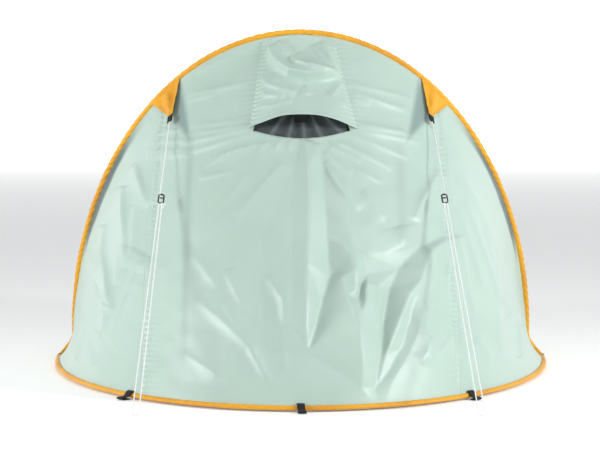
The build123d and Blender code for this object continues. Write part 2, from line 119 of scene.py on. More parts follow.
# ---------------------------------------------------------------------------------------------------
# Rods and ferrules
# Solid glass fibre rods in the sleeves, joined by short metal tubes. They keep their own solids and
# only get their finish here.
# ---------------------------------------------------------------------------------------------------
REAR, FRONT = -1, 1
END_NAMES = {REAR: "rear", FRONT: "front"}


def plain_material(name, colour, roughness):
    """A Principled material and its shader node."""
    material = bpy.data.materials.new(name)
    material.use_nodes = True
    shader = material.node_tree.nodes["Principled BSDF"]
    shader.inputs["Base Color"].default_value = (*colour, 1)
    shader.inputs["Roughness"].default_value = roughness
    return material, shader


def add_grain(material, scale, strength, shades=None, stretch=(1, 1, 1), detail=3.0):
    """Noise on Object coordinates: a bump, and between two colours if shades are given."""
    nodes, links = material.node_tree.nodes, material.node_tree.links
    shader = nodes["Principled BSDF"]
    place = nodes.new("ShaderNodeTexCoord")
    mapping = nodes.new("ShaderNodeMapping")
    mapping.inputs["Scale"].default_value = stretch
    grain = nodes.new("ShaderNodeTexNoise")
    grain.inputs["Scale"].default_value = scale
    grain.inputs["Detail"].default_value = detail
    bump = nodes.new("ShaderNodeBump")
    bump.inputs["Strength"].default_value = strength
    bump.inputs["Distance"].default_value = 0.0006
    links.new(place.outputs["Object"], mapping.inputs["Vector"])
    links.new(mapping.outputs["Vector"], grain.inputs["Vector"])
    links.new(grain.outputs["Fac"], bump.inputs["Height"])
    links.new(bump.outputs["Normal"], shader.inputs["Normal"])
    if shades:
        ramp = nodes.new("ShaderNodeValToRGB")
        ramp.color_ramp.elements[0].position = 0.35
        ramp.color_ramp.elements[1].position = 0.65
        for element, shade in zip(ramp.color_ramp.elements, shades):
            element.color = (*shade, 1)
        links.new(grain.outputs["Fac"], ramp.inputs["Fac"])
        links.new(ramp.outputs["Color"], shader.inputs["Base Color"])


glass_fibre = plain_material("glass_fibre", (0.72, 0.70, 0.60), 0.35)[0]
add_grain(glass_fibre, 160, 0.15, ((0.62, 0.60, 0.50), (0.80, 0.78, 0.69)), stretch=(1, 1, 6))
ferrule_metal, shader = plain_material("ferrule_metal", (0.66, 0.66, 0.68), 0.3)
shader.inputs["Metallic"].default_value = 1.0
add_grain(ferrule_metal, 700, 0.1)


def finish_node(node, material):
    """Give a kept solid its material."""
    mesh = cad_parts[node].data
    mesh.materials.clear()
    mesh.materials.append(material)


for name in END_NAMES.values():
    finish_node(f"{name}_arch_rod", glass_fibre)
    finish_node(f"{name}_ground_rod", glass_fibre)
    finish_node(f"{name}_ferrules", ferrule_metal)

# ---------------------------------------------------------------------------------------------------
# Sleeves
# Orange woven cloth tubes, cut on the bias, that the rods are pushed through. They are flatter than
# they are wide, and the rod's spring twists their cloth into slanting puckers.
# ---------------------------------------------------------------------------------------------------
SIDES = {-1: "left", 1: "right"}
sleeve_low, sleeve_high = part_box("rear_ground_sleeve")
arch_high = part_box("rear_arch_sleeve")[1]
SLEEVE_R = (sleeve_high[2] - sleeve_low[2]) / 2
HOOP_GAP = 0.013               # from the fold line to each hoop
LEAN = math.radians(32)
GROUND_A = 0.725 - SLEEVE_R
GROUND_B = -sleeve_low[1] - SLEEVE_R - HOOP_GAP
ARCH_A = 0.673
ARCH_B = (arch_high[2] - 2 * SLEEVE_R) / math.cos(LEAN)
TURN = 0.075                   # length of hoop given to each turn
FOLD_Z = SLEEVE_R


def arch(end, angle):
    """Points on an arch's centre line, angle in degrees from the right-hand side."""
    turn = np.radians(angle)
    rise = ARCH_B * np.sin(turn)
    return np.stack([ARCH_A * np.cos(turn), end * (HOOP_GAP + rise * math.sin(LEAN)),
                     FOLD_Z + rise * math.cos(LEAN)], axis=-1)


def ground(end, angle):
    """Points on a ground half's centre line."""
    turn = np.radians(angle)
    return np.stack([GROUND_A * np.cos(turn), end * (HOOP_GAP + GROUND_B * np.sin(turn)),
                     FOLD_Z + 0 * turn], axis=-1)


def outward(end, angle):
    """Directions out of an end wall."""
    drop = arch(end, 90.0) - ground(end, 90.0)
    slope = math.atan2(drop[2], abs(drop[1]))
    turn = np.radians(angle)
    return np.stack([np.cos(turn), end * np.sin(turn) * math.sin(slope), np.sin(turn) * math.cos(slope)],
                    axis=-1)


def unit(vectors):
    return vectors / np.linalg.norm(vectors, axis=-1, keepdims=True)


def turn_line(end, flip, count=26):
    """The turn from the ground (first) up into the arch (last); flip is 1 on the right."""
    ground_at = 90 - flip * (90 - math.degrees(TURN / GROUND_B))
    arch_at = 90 - flip * (90 - math.degrees(TURN / ARCH_B))
    low, high = ground(end, ground_at), arch(end, arch_at)
    away = unit(ground(end, ground_at - flip * 0.1) - low)
    up = unit(arch(end, arch_at + flip * 0.1) - high)
    pull = np.linalg.norm(high - low) * 1.25
    t = np.linspace(0, 1, count)[:, None]
    return ((2 * t**3 - 3 * t**2 + 1) * low + (t**3 - 2 * t**2 + t) * away * pull
            + (3 * t**2 - 2 * t**3) * high + (t**3 - t**2) * up * pull)


def standing_line(end):
    """A hoop's upper part: right turn, arch and left turn."""
    cut = math.degrees(TURN / ARCH_B)
    return np.concatenate([turn_line(end, 1)[:-1], arch(end, np.linspace(cut, 180 - cut, 700)),
                           turn_line(end, -1)[-2::-1]])


def lying_line(end):
    """A hoop's ground half."""
    cut = math.degrees(TURN / GROUND_B)
    return ground(end, np.linspace(cut, 180 - cut, 800))


def cloth_material(name, light, shade, roughness, sheen):
    """Woven cloth: a fine crossed weave as bump and a slow change of shade."""
    material, shader = plain_material(name, light, roughness)
    shader.inputs["Sheen Weight"].default_value = sheen
    shader.inputs["Sheen Roughness"].default_value = 0.4
    nodes, links = material.node_tree.nodes, material.node_tree.links
    place = nodes.new("ShaderNodeTexCoord")
    slow = nodes.new("ShaderNodeTexNoise")
    slow.inputs["Scale"].default_value = 5.0
    slow.inputs["Detail"].default_value = 5.0
    ramp = nodes.new("ShaderNodeValToRGB")
    ramp.color_ramp.elements[0].position = 0.36
    ramp.color_ramp.elements[1].position = 0.64
    ramp.color_ramp.elements[0].color = (*shade, 1)
    ramp.color_ramp.elements[1].color = (*light, 1)
    links.new(place.outputs["Object"], slow.inputs["Vector"])
    links.new(slow.outputs["Fac"], ramp.inputs["Fac"])
    links.new(ramp.outputs["Color"], shader.inputs["Base Color"])
    threads = []
    for direction in ("X", "Z"):
        thread = nodes.new("ShaderNodeTexWave")
        thread.bands_direction = direction
        thread.inputs["Scale"].default_value = 420
        thread.inputs["Distortion"].default_value = 1.2
        links.new(place.outputs["Object"], thread.inputs["Vector"])
        threads.append(thread)
    weave = nodes.new("ShaderNodeMath")
    weave.operation = "MULTIPLY"
    links.new(threads[0].outputs["Fac"], weave.inputs[0])
    links.new(threads[1].outputs["Fac"], weave.inputs[1])
    bump = nodes.new("ShaderNodeBump")
    bump.inputs["Strength"].default_value = 0.12
    bump.inputs["Distance"].default_value = 0.0003
    links.new(weave.outputs["Value"], bump.inputs["Height"])
    links.new(bump.outputs["Normal"], shader.inputs["Normal"])
    return material


orange_cloth = cloth_material("orange_sleeve_cloth", (0.86, 0.42, 0.012), (0.72, 0.32, 0.008), 0.55, 0.1)


def cloth_sheet(name, columns, rows, shape):
    """A grid of cloth laid on a shape: shape takes two arrays from 0 to 1 and gives points."""
    bpy.ops.object.select_all(action="DESELECT")
    bpy.ops.mesh.primitive_grid_add(x_subdivisions=columns, y_subdivisions=rows, size=2)
    piece = bpy.context.object
    piece.name = name
    flat = np.empty(len(piece.data.vertices) * 3)
    piece.data.vertices.foreach_get("co", flat)
    spread = (flat.reshape(-1, 3)[:, :2] + 1) / 2
    piece.data.vertices.foreach_set("co", shape(spread[:, 0], spread[:, 1]).ravel())
    piece.data.update()
    return piece


def cloth_finish(piece, material, body, thickness=0.0):
    """Thickness, smooth faces, material and body of a cloth piece."""
    bpy.ops.object.select_all(action="DESELECT")
    piece.select_set(True)
    bpy.context.view_layer.objects.active = piece
    bpy.ops.object.mode_set(mode="EDIT")
    bpy.ops.mesh.select_all(action="SELECT")
    bpy.ops.mesh.remove_doubles(threshold=1e-5)
    bpy.ops.mesh.normals_make_consistent(inside=False)
    bpy.ops.object.mode_set(mode="OBJECT")
    if thickness:
        solid = piece.modifiers.new("thickness", "SOLIDIFY")
        solid.thickness = thickness
        solid.offset = 0
        bpy.ops.object.modifier_apply(modifier=solid.name)
    bpy.ops.object.shade_smooth()
    piece.data.materials.clear()
    piece.data.materials.append(material)
    if body:
        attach(piece, body)


def wander(points, scale, seed):
    """Smooth noise at each point, from about -1 to 1."""
    scaled = points * np.array(scale) + seed
    return np.array([noise.noise(Vector(p)) for p in scaled])


def sleeve_tube(name, line, normal, size, spacing=0.0032):
    """A flattened cloth tube along a line, wide across normal, with slanting puckers."""
    gaps = np.linalg.norm(np.diff(line, axis=0), axis=1)
    run = np.concatenate([[0], np.cumsum(gaps)])
    count = int(run[-1] / spacing)

    def shape(s, t):
        at = s * run[-1]
        centre = np.stack([np.interp(at, run, line[:, k]) for k in range(3)], axis=-1)
        ahead = np.stack([np.interp(at + 0.004, run, line[:, k]) for k in range(3)], axis=-1)
        behind = np.stack([np.interp(at - 0.004, run, line[:, k]) for k in range(3)], axis=-1)
        along = unit(ahead - behind)
        flat = unit(normal - along * (along @ normal)[:, None])
        wide = np.cross(along, flat)
        turn = 2 * np.pi * t
        slow = wander(np.stack([at, 0 * at, 0 * at], axis=-1), (9, 1, 1), len(name))
        flip = np.sign(centre[:, 0])
        twist = at / 0.026 - flip * turn / (2 * np.pi) * 4 + 0.9 * slow
        pucker = np.abs(np.sin(np.pi * twist)) ** 0.6
        fine = np.sin(2 * np.pi * (at / 0.0083 + 2 * turn / (2 * np.pi) + 2.2 * slow))
        swell = size * (0.0083 + 0.0029 * pucker * (0.85 + 0.4 * slow) + 0.0003 * fine)
        return centre + wide * (np.cos(turn) * swell)[:, None] + flat * (np.sin(turn) * swell * 0.74)[:, None]

    return cloth_sheet(name, count, 40, shape)


for end, name in END_NAMES.items():
    across = np.array([0.0, -math.cos(LEAN), end * math.sin(LEAN)])
    standing = sleeve_tube(f"{name}_arch_sleeve_cloth", standing_line(end), across, 1.0)
    lying = sleeve_tube(f"{name}_ground_sleeve_cloth", lying_line(end), np.array([0.0, 0.0, 1.0]), 0.78)
    for piece, node in ((standing, f"{name}_arch_sleeve"), (lying, f"{name}_ground_sleeve")):
        cloth_finish(piece, orange_cloth, f"{name}_half")
        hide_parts(node)

# ---------------------------------------------------------------------------------------------------
# Rear end wall
# Three gores of thin coated polyester, felled together and sewn into the sleeves. The wall is drawn in
# beside the sleeves, and it hangs in large creases over the ground hoop.
# ---------------------------------------------------------------------------------------------------
GORE_ANGLE = 56.5
FOOT_FLARE = 0.026             # how far the cloth stands out over the sleeves' turns
DRAW_IN = 0.036                # how far the sides are drawn in
FULLNESS = {REAR: 0.022, FRONT: 0.0}

mint_cloth = cloth_material("mint_wall_cloth", (0.475, 0.615, 0.545), (0.45, 0.59, 0.52), 0.40, 0.1)


def add_shade(material, shade):
    """Let a piece's own shade attribute mix a second colour in: painted shade on the walls, painted
    highlights on the net.
    """
    nodes, links = material.node_tree.nodes, material.node_tree.links
    shader = nodes["Principled BSDF"]
    old = shader.inputs["Base Color"].links[0].from_socket
    layer = nodes.new("ShaderNodeAttribute")
    layer.attribute_name = "shade"
    mix = nodes.new("ShaderNodeMix")
    mix.data_type = "RGBA"
    mix.inputs["B"].default_value = (*shade, 1)
    links.new(layer.outputs["Fac"], mix.inputs["Factor"])
    links.new(old, mix.inputs["A"])
    links.new(mix.outputs["Result"], shader.inputs["Base Color"])


# Blue-grey painted shade colour for the rear wall: cast shadows of the patches, the strip beside the sleeves
# and an inner tape's shade.
add_shade(mint_cloth, (0.10, 0.17, 0.19))


def ease(values, low, high):
    """0 below low, 1 above high and smooth between."""
    t = np.clip((values - low) / (high - low), 0, 1)
    return t * t * (3 - 2 * t)


def wall(end, angle, share):
    """Points of an end wall before its folds: angle round the hoop, share from the arch to the ground."""
    angle, share = np.broadcast_arrays(np.asarray(angle, float), np.asarray(share, float))
    turn = np.radians(angle)
    top, foot = arch(end, angle), ground(end, angle)
    side = ease(np.abs(90 - angle) / 90, 0.38, 0.70)
    hump = np.sin(np.pi * np.clip(share, 0, 1) ** 1.2) ** 0.7
    proud = FULLNESS[end] * np.sin(np.pi * share) * np.sin(turn) - DRAW_IN * side * hump
    points = top + (foot - top) * share[..., None] + outward(end, angle) * proud[..., None]
    for flip in (1, -1):
        line = turn_line(end, flip)
        edge_angle = 90 - flip * (90 - math.degrees(TURN / ARCH_B))
        along = np.clip(1 - share, 0, 1) * (len(line) - 1)
        edge = np.stack([np.interp(along, np.arange(len(line)), line[:, k]) for k in range(3)], axis=-1)
        over = FOOT_FLARE * np.sqrt(np.sin(np.pi * np.clip(share, 0, 1)))
        edge = edge + over[..., None] * np.array([flip, 0.0, 0.0])
        arch_edge, ground_edge = arch(end, edge_angle), ground(end, edge_angle)
        straight = arch_edge + (ground_edge - arch_edge) * share[..., None]
        near = 1 - ease(np.abs(angle - edge_angle), 0, 12)
        points = points + (edge - straight) * near[..., None]
    return points


def wall_place(x, z):
    """The angle and share of wall points that have these x and z."""
    share = 0 * x
    for _ in range(14):
        turn = np.arccos(np.clip(x / (ARCH_A + (GROUND_A - ARCH_A) * share), -0.999, 0.999))
        top = FOLD_Z + ARCH_B * math.cos(LEAN) * np.sin(turn)
        share = (top - z) / (top - FOLD_Z)
    return np.degrees(turn), share


# Big facets of the rear wall: lines of points (x, z, height in mm), each a crest or a valley.
FACET_LINES = [
    [(0.014, 0.645, 9), (0.02, 0.578, 20), (0.022, 0.494, 27), (0.02, 0.411, 31), (0.015, 0.331, 34),
     (0.013, 0.251, 34), (0.012, 0.189, 26), (0.018, 0.132, 4)],
    [(-0.015, 0.578, 8), (-0.016, 0.411, 18), (-0.017, 0.251, 20), (-0.012, 0.174, 14)],
    [(-0.097, 0.578, 5), (-0.095, 0.411, 8), (-0.093, 0.25, 6), (-0.083, 0.135, 0)],
    [(0.082, 0.324, 2), (0.072, 0.316, 2), (0.052, 0.251, 6), (0.031, 0.174, 6), (0.018, 0.132, 4)],
    [(0.050, 0.640, 1), (0.056, 0.578, 2), (0.062, 0.494, 4), (0.066, 0.411, 2), (0.069, 0.350, 1)],
    [(0.120, 0.600, 3), (0.115, 0.536, 6), (0.110, 0.452, 8)],
    [(0.101, 0.306, 14), (0.115, 0.258, 22), (0.127, 0.211, 30), (0.139, 0.164, 34), (0.146, 0.102, 30),
     (0.146, 0.05, 10)],
    [(0.123, 0.406, 6), (0.129, 0.37, 14), (0.135, 0.321, 20), (0.136, 0.272, 18)],
    [(0.159, 0.369, 2), (0.163, 0.316, 0), (0.145, 0.261, 6)],
    [(0.162, 0.29, 18), (0.16, 0.249, 22), (0.148, 0.218, 26)],
    [(0.196, 0.287, 2), (0.199, 0.224, 4), (0.197, 0.161, 2), (0.182, 0.048, -2)],
    [(0.366, 0.4, 2), (0.309, 0.38, 0), (0.254, 0.333, -6), (0.226, 0.286, -8), (0.209, 0.207, -8),
     (0.203, 0.13, -4)],
    [(0.375, 0.389, 14), (0.327, 0.362, 24), (0.304, 0.314, 32), (0.293, 0.287, 34), (0.267, 0.258, 32),
     (0.245, 0.206, 26), (0.218, 0.145, 14), (0.205, 0.121, 4)],
    [(0.285, 0.255, 28), (0.275, 0.228, 18), (0.268, 0.189, 8), (0.253, 0.139, 2), (0.222, 0.091, -2),
     (0.203, 0.066, -2)],
    [(0.304, 0.218, 28), (0.294, 0.187, 24), (0.281, 0.156, 18), (0.264, 0.123, 12), (0.234, 0.079, 8),
     (0.205, 0.056, 2)],
    [(0.38, 0.309, 12), (0.388, 0.195, 4), (0.402, 0.114, 2), (0.357, 0.041, 0)],
    [(0.351, 0.295, 20), (0.338, 0.215, 18), (0.334, 0.121, 12)],
    [(-0.42, 0.66, 0), (-0.2, 0.66, 0), (0.0, 0.66, 0), (0.2, 0.66, 0), (0.44, 0.66, 0), (0.44, 0.4, 0),
     (0.44, 0.2, 0), (0.44, 0.0, 0), (0.2, 0.0, 0), (0.0, 0.0, 0), (-0.2, 0.0, 0), (-0.42, 0.0, 0),
     (-0.42, 0.3, 0), (-0.42, 0.66, 0)],
]


def facet_height(x, z):
    """Height of the big facets: flat triangles between the facet lines, rounded a little."""
    flat, edges, heights = [], [], []
    for line in FACET_LINES:
        for place, (px, pz, height) in enumerate(line):
            if place:
                edges.append((len(flat) - 1, len(flat)))
            flat.append(Vector((px, pz)))
            heights.append(height / 1000)
    corners, _, faces, origins, _, _ = delaunay_2d_cdt(flat, edges, [], 0, 1e-4)
    level = [heights[origin[0]] if origin else 0.0 for origin in origins]
    total = np.zeros(len(x))
    reach = 0.0020
    for dx, dz in ((0, 0), (reach, 0), (-reach, 0), (0, reach), (0, -reach)):
        px, pz, height = x + dx, z + dz, np.zeros(len(x))
        for face in faces:
            (ax, az), (bx, bz), (cx, cz) = (corners[i] for i in face)
            area = (bx - ax) * (cz - az) - (cx - ax) * (bz - az)
            if abs(area) < 1e-9:
                continue
            one = ((px - ax) * (cz - az) - (cx - ax) * (pz - az)) / area
            two = ((bx - ax) * (pz - az) - (px - ax) * (bz - az)) / area
            inside = (one >= 0) & (two >= 0) & (one + two <= 1)
            ha, hb, hc = (level[i] for i in face)
            height[inside] = (ha + (hb - ha) * one + (hc - ha) * two)[inside]
        total += height / 5
    return total * (1.25 - 0.35 * ease(x, 0.18, 0.26))


# Smaller folds of the rear wall: a line of (x, z) points, height in mm, and how wide it falls away in mm
# on the near side (left of or below the line) and on the far side.
FOLDS = [
    ([(-0.276, 0.361), (-0.208, 0.283)], 4.5, 9, 26),
    ([(-0.263, 0.252), (-0.184, 0.193), (-0.125, 0.145), (-0.078, 0.063)], 6, 9, 30),
    ([(-0.187, 0.324), (-0.133, 0.222)], 5, 8, 24), ([(-0.194, 0.248), (-0.149, 0.183)], 4, 7, 20),
    ([(-0.081, 0.31), (-0.043, 0.251), (-0.04, 0.189)], 6, 9, 18),
    ([(-0.039, 0.193), (-0.055, 0.135)], 4, 12, 5), ([(-0.033, 0.135), (-0.04, 0.09)], 3, 10, 5),
    ([(-0.125, 0.145), (-0.068, 0.053)], 4, 12, 7), ([(-0.293, 0.124), (-0.206, 0.077)], 3, 8, 12),
    ([(-0.164, 0.459), (-0.045, 0.595)], 3, 18, 10), ([(-0.191, 0.492), (-0.14, 0.565)], 2, 9, 7),
    ([(-0.265, 0.552), (-0.167, 0.573)], 2.2, 5, 9), ([(-0.248, 0.585), (-0.133, 0.638)], 3, 6, 10),
    ([(-0.295, 0.619), (-0.124, 0.669)], 3.4, 6, 11), ([(-0.319, 0.641), (-0.133, 0.682)], 3.2, 6, 11),
    ([(-0.239, 0.603), (-0.098, 0.643)], 2.6, 6, 9),
    ([(0.095, 0.647), (0.226, 0.585), (0.235, 0.575)], 3.2, 6, 10),
    ([(0.13, 0.669), (0.282, 0.606)], 3, 6, 10),
    ([(0.059, 0.621), (0.128, 0.561)], 2.6, 8, 12), ([(0.077, 0.634), (0.155, 0.595)], 2.6, 5, 8),
    ([(0.142, 0.573), (0.216, 0.543)], 2.4, 6, 9), ([(0.154, 0.518), (0.214, 0.45)], 3, 8, 12),
    ([(0.059, 0.595), (0.093, 0.536), (0.149, 0.472)], 3.6, 9, 16),
    ([(-0.085, 0.651), (-0.111, 0.621)], 2, 5, 6), ([(-0.054, 0.654), (-0.067, 0.625)], 2, 5, 6),
    ([(-0.028, 0.651), (-0.032, 0.621)], 2, 5, 6), ([(0.073, 0.649), (0.086, 0.625)], 2, 5, 6),
    ([(0.37, 0.574), (0.314, 0.493), (0.294, 0.447)], 5, 10, 22),
    ([(0.253, 0.432), (0.264, 0.374)], 5, 20, 26),
    ([(-0.31, 0.774), (-0.136, 0.807)], 3, 7, 8), ([(-0.309, 0.76), (-0.226, 0.778)], 2, 6, 6),
    ([(-0.284, 0.841), (-0.187, 0.885)], 3, 7, 9), ([(-0.297, 0.69), (-0.134, 0.708)], 2, 6, 8),
    ([(-0.301, 0.668), (-0.134, 0.691)], 2.6, 6, 9), ([(-0.413, 0.667), (-0.316, 0.681)], 2, 6, 7),
    ([(-0.422, 0.649), (-0.296, 0.65)], 2.4, 6, 7), ([(-0.421, 0.622), (-0.295, 0.624)], 2.6, 6, 8),
    ([(-0.42, 0.608), (-0.285, 0.613)], 2, 5, 7), ([(0.114, 0.806), (0.306, 0.763)], 3, 7, 9),
    ([(0.136, 0.779), (0.286, 0.731)], 4, 8, 10), ([(0.136, 0.762), (0.185, 0.748)], 2, 5, 6),
    ([(0.148, 0.699), (0.275, 0.673)], 2.6, 7, 8), ([(0.153, 0.689), (0.312, 0.664)], 2.6, 7, 8),
    ([(0.157, 0.677), (0.32, 0.646)], 2.6, 7, 9),
    ([(-0.455, 0.589), (-0.425, 0.528), (-0.402, 0.477)], 5, 22, 9),
    ([(-0.486, 0.525), (-0.467, 0.421), (-0.452, 0.315)], 9, 26, 13),
    ([(-0.478, 0.368), (-0.484, 0.266)], 6, 7, 20),
    ([(-0.44, 0.475), (-0.439, 0.355), (-0.447, 0.312)], 5, 12, 24),
    ([(-0.567, 0.279), (-0.524, 0.235), (-0.513, 0.195)], 6, 8, 22),
    ([(-0.541, 0.414), (-0.538, 0.344), (-0.514, 0.279), (-0.488, 0.191)], 8, 20, 10),
    ([(-0.508, 0.212), (-0.512, 0.154), (-0.521, 0.136)], 6, 12, 16),
    ([(-0.55, 0.155), (-0.523, 0.132)], 4, 7, 12),
    ([(-0.575, 0.117), (-0.546, 0.058)], 3, 7, 12), ([(-0.595, 0.128), (-0.611, 0.05)], 4, 8, 10),
    ([(-0.41, 0.357), (-0.447, 0.245), (-0.498, 0.116)], 6, 24, 24),
    ([(0.434, 0.563), (0.48, 0.472), (0.546, 0.325)], 3, 12, 16),
    ([(0.413, 0.476), (0.485, 0.265)], 3, 10, 16),
    ([(0.44, 0.492), (0.545, 0.206)], 3, 10, 14), ([(0.528, 0.26), (0.524, 0.095)], 3, 12, 16),
    ([(0.609, 0.158), (0.595, 0.062)], 5, 8, 10), ([(0.446, 0.14), (0.502, 0.083)], 3, 10, 16),
    ([(0.409, 0.408), (0.454, 0.187)], 3, 9, 13), ([(0.497, 0.418), (0.565, 0.169)], 3, 10, 14),
    ([(0.387, 0.35), (0.37, 0.294), (0.369, 0.253), (0.39, 0.227)], 3, 8, 8),
    ([(0.326, 0.153), (0.298, 0.093)], 4, 14, 18), ([(0.386, 0.155), (0.315, 0.099)], 3, 10, 14),
]


def line_distance(x, z, line):
    """Signed distance to a line of points, positive right of a falling line, and the share along it."""
    best, side, share = np.full(len(x), 9.0), np.zeros(len(x)), np.zeros(len(x))
    spans = [math.dist(a, b) for a, b in zip(line, line[1:])]
    run = 0.0
    for (ax, az), (bx, bz), span in zip(line, line[1:], spans):
        ux, uz = (bx - ax) / span, (bz - az) / span
        along = np.clip((x - ax) * ux + (z - az) * uz, 0, span)
        away = np.hypot(x - ax - along * ux, z - az - along * uz)
        across = ux * (z - az) - uz * (x - ax)
        closer = away < best
        best, side = np.where(closer, away, best), np.where(closer, np.sign(across), side)
        share = np.where(closer, (run + along) / sum(spans), share)
        run += span
    return best * side, share


def fold_height(x, z, folds):
    """Height of a list of folds: each rises to its line and falls away on both sides."""
    total = np.zeros(len(x))
    for line, height, near, far in folds:
        distance, share = line_distance(x, z, line)
        width = np.where(distance < 0, near, far) / 1000
        reach = np.sqrt((distance / width) ** 2 + 0.06) - 0.245
        total += height / 1000 * np.exp(-reach) * np.sqrt(np.clip(4 * share * (1 - share), 0, 1))
    return total


def seam_pucker(x, z, share):
    """Small cross ripples that a long seam draws into the cloth on both sides."""
    seam = (ARCH_A + (GROUND_A - ARCH_A) * share) * math.cos(math.radians(GORE_ANGLE))
    away = np.abs(np.abs(x) - seam)
    low = (0.9235 - z) / 0.2375
    hood_edge = np.where(x < 0, -0.106 - 0.0285 * low, 0.096 + 0.05 * low)
    hood = np.where((z > 0.69) & (z < 0.925), np.abs(x - hood_edge), 9)
    slow = wander(np.stack([x, z, 0 * x], axis=-1), (7, 7, 1), 3.7)
    near = np.exp(-away / 0.013) + 1.2 * np.exp(-hood / 0.013)
    ripple = np.sin(2 * np.pi * (z / 0.0125 + 1.5 * slow)) * near * (0.6 + 0.7 * slow)
    return 0.0023 * ripple - 0.0030 * np.exp(-(away / 0.005) ** 2)


def soft_waves(points, big, small):
    """Slow waves and fine crinkles of loose cloth."""
    return big * wander(points, (5, 5, 5), 1.3) + small * wander(points, (24, 24, 24), 4.1)


# Corners of the painted cast shadows that the guy patches throw on the rear wall.
PATCH_TIP_SHADES = [
    [(-0.331, 0.81), (-0.296, 0.658), (-0.350, 0.726)], [(0.323, 0.805), (0.352, 0.724), (0.288, 0.662)],
]


def rear_shade(x, z, angle, share):
    """Painted shade on the rear wall: cast shadows beside the patches, a shaded strip along the sleeves, and
    a tape's shade seen through the cloth.
    """
    shade = np.zeros(len(x))
    # Painted cast shadows beside the guy patches, hard at the patch and soft away from it.
    for corners in PATCH_TIP_SHADES:
        depth = np.full(len(x), 9.0)
        middle = np.mean(corners, axis=0)
        for (ax, az), (bx, bz) in zip(corners, corners[1:] + corners[:1]):
            span = math.dist((ax, az), (bx, bz))
            across = ((bx - ax) * (z - az) - (bz - az) * (x - ax)) / span
            inner = ((bx - ax) * (middle[1] - az) - (bz - az) * (middle[0] - ax)) / span
            depth = np.minimum(depth, across * np.sign(inner))
        shade = np.maximum(shade, 0.55 * ease(depth, -0.012, 0.006))
    # Painted shade in a strip beside the lower sleeves, where the cloth turns away from the lamps.
    strip = sum(ease(turn, 18, 26) * (1 - ease(turn, 40, 52)) for turn in (angle, 180 - angle))
    top = 0.035 + 0.035 * ease(np.abs(90 - angle), 45, 60)
    shade = np.maximum(shade, 1.0 * strip * (1 - ease(share, top, top + 0.03)))
    # Painted shade of an inner tape seen through the cloth, as faint vertical bands.
    tape = np.exp(-((x + 0.292) / 0.010) ** 2) * ease(z, 0.05, 0.2) * (1 - ease(z, 0.64, 0.70))
    tape = tape + 0.6 * np.exp(-((x - 0.262) / 0.014) ** 2) * ease(z, 0.36, 0.42) * (1 - ease(z, 0.62, 0.70))
    return np.clip(np.maximum(shade, 0.20 * tape), 0, 1)


def rear_height(x, z, angle, share):
    """Height of everything on the rear wall."""
    flat = np.stack([x, z, 0 * x], axis=-1)
    soft_corner = ease(-x, 0.02, 0.06) * ease(0.42 - z, 0.0, 0.06) * (1 - ease(-x, 0.30, 0.36))
    gain = 1.9 + 0.3 * ease(np.abs(x), 0.36, 0.42) - 0.8 * soft_corner
    height = facet_height(x, z) + gain * fold_height(x, z, FOLDS) + soft_waves(flat, 0.006, 0.0012)
    calm = ease(share, 0.0, 0.05) * (1 - 0.9 * ease(share, 0.94, 1.0))
    return height * calm + seam_pucker(x, z, share) * ease(share, 0, 0.02) * (1 - ease(share, 0.97, 1))


def outline_distance(x, z, outline):
    """Distance to a closed outline, negative inside, and its nearest points."""
    best, near_x, near_z = np.full(len(x), 9.0), x.copy(), z.copy()
    inside = np.zeros(len(x), bool)
    for (ax, az), (bx, bz) in zip(outline, outline[1:] + outline[:1]):
        span = math.dist((ax, az), (bx, bz))
        ux, uz = (bx - ax) / span, (bz - az) / span
        along = np.clip((x - ax) * ux + (z - az) * uz, 0, span)
        fx, fz = ax + along * ux, az + along * uz
        away = np.hypot(x - fx, z - fz)
        closer = away < best
        best = np.where(closer, away, best)
        near_x, near_z = np.where(closer, fx, near_x), np.where(closer, fz, near_z)
        crosses = (az > z) != (bz > z)
        with np.errstate(divide="ignore", invalid="ignore"):
            inside ^= crosses & (x < ax + (z - az) * (bx - ax) / (bz - az))
    return np.where(inside, -best, best), near_x, near_z


def cut_outline(piece, outline, keep_inside, slope, pitch=0.0045):
    """Cut a wall piece along an outline in x and z: the near points move onto it, then one side goes."""
    mesh = piece.data
    co = np.empty(len(mesh.vertices) * 3)
    mesh.vertices.foreach_get("co", co)
    co = co.reshape(-1, 3)
    distance, near_x, near_z = outline_distance(co[:, 0], co[:, 2], outline)
    snap = np.abs(distance) < 0.55 * pitch
    co[snap, 1] += (near_z - co[:, 2])[snap] * slope
    co[snap, 0], co[snap, 2] = near_x[snap], near_z[snap]
    mesh.vertices.foreach_set("co", co.ravel())
    distance[snap] = 0
    away = np.array([distance[list(face.vertices)].mean() for face in mesh.polygons])
    bpy.ops.object.select_all(action="DESELECT")
    piece.select_set(True)
    bpy.context.view_layer.objects.active = piece
    bpy.ops.object.mode_set(mode="EDIT")
    bpy.ops.mesh.select_mode(type="FACE")
    bpy.ops.mesh.select_all(action="DESELECT")
    bpy.ops.object.mode_set(mode="OBJECT")
    mesh.polygons.foreach_set("select", (away > 1e-7) if keep_inside else (away < -1e-7))
    bpy.ops.object.mode_set(mode="EDIT")
    bpy.ops.mesh.delete(type="FACE")
    bpy.ops.mesh.select_all(action="SELECT")
    bpy.ops.mesh.delete_loose()
    bpy.ops.object.mode_set(mode="OBJECT")
    bpy.ops.object.select_all(action="DESELECT")


def gore(name, end, first, last, columns, rows, height_of, shade_of=None, proud=0.0):
    """One gore of an end wall between two angles, with its folds and its shade attribute."""
    found = {}

    def shape(u, v):
        angle, share = first + (last - first) * u, 0.004 + 0.996 * v
        base = wall(end, angle, share)
        height = height_of(base[:, 0], base[:, 2], angle, share) + proud
        found["shade"] = shade_of(base[:, 0], base[:, 2], angle, share) if shade_of else 0 * u
        return base + outward(end, angle) * height[:, None]

    piece = cloth_sheet(name, columns, rows, shape)
    piece.data.attributes.new("shade", "FLOAT", "POINT").data.foreach_set("value", found["shade"])
    return piece


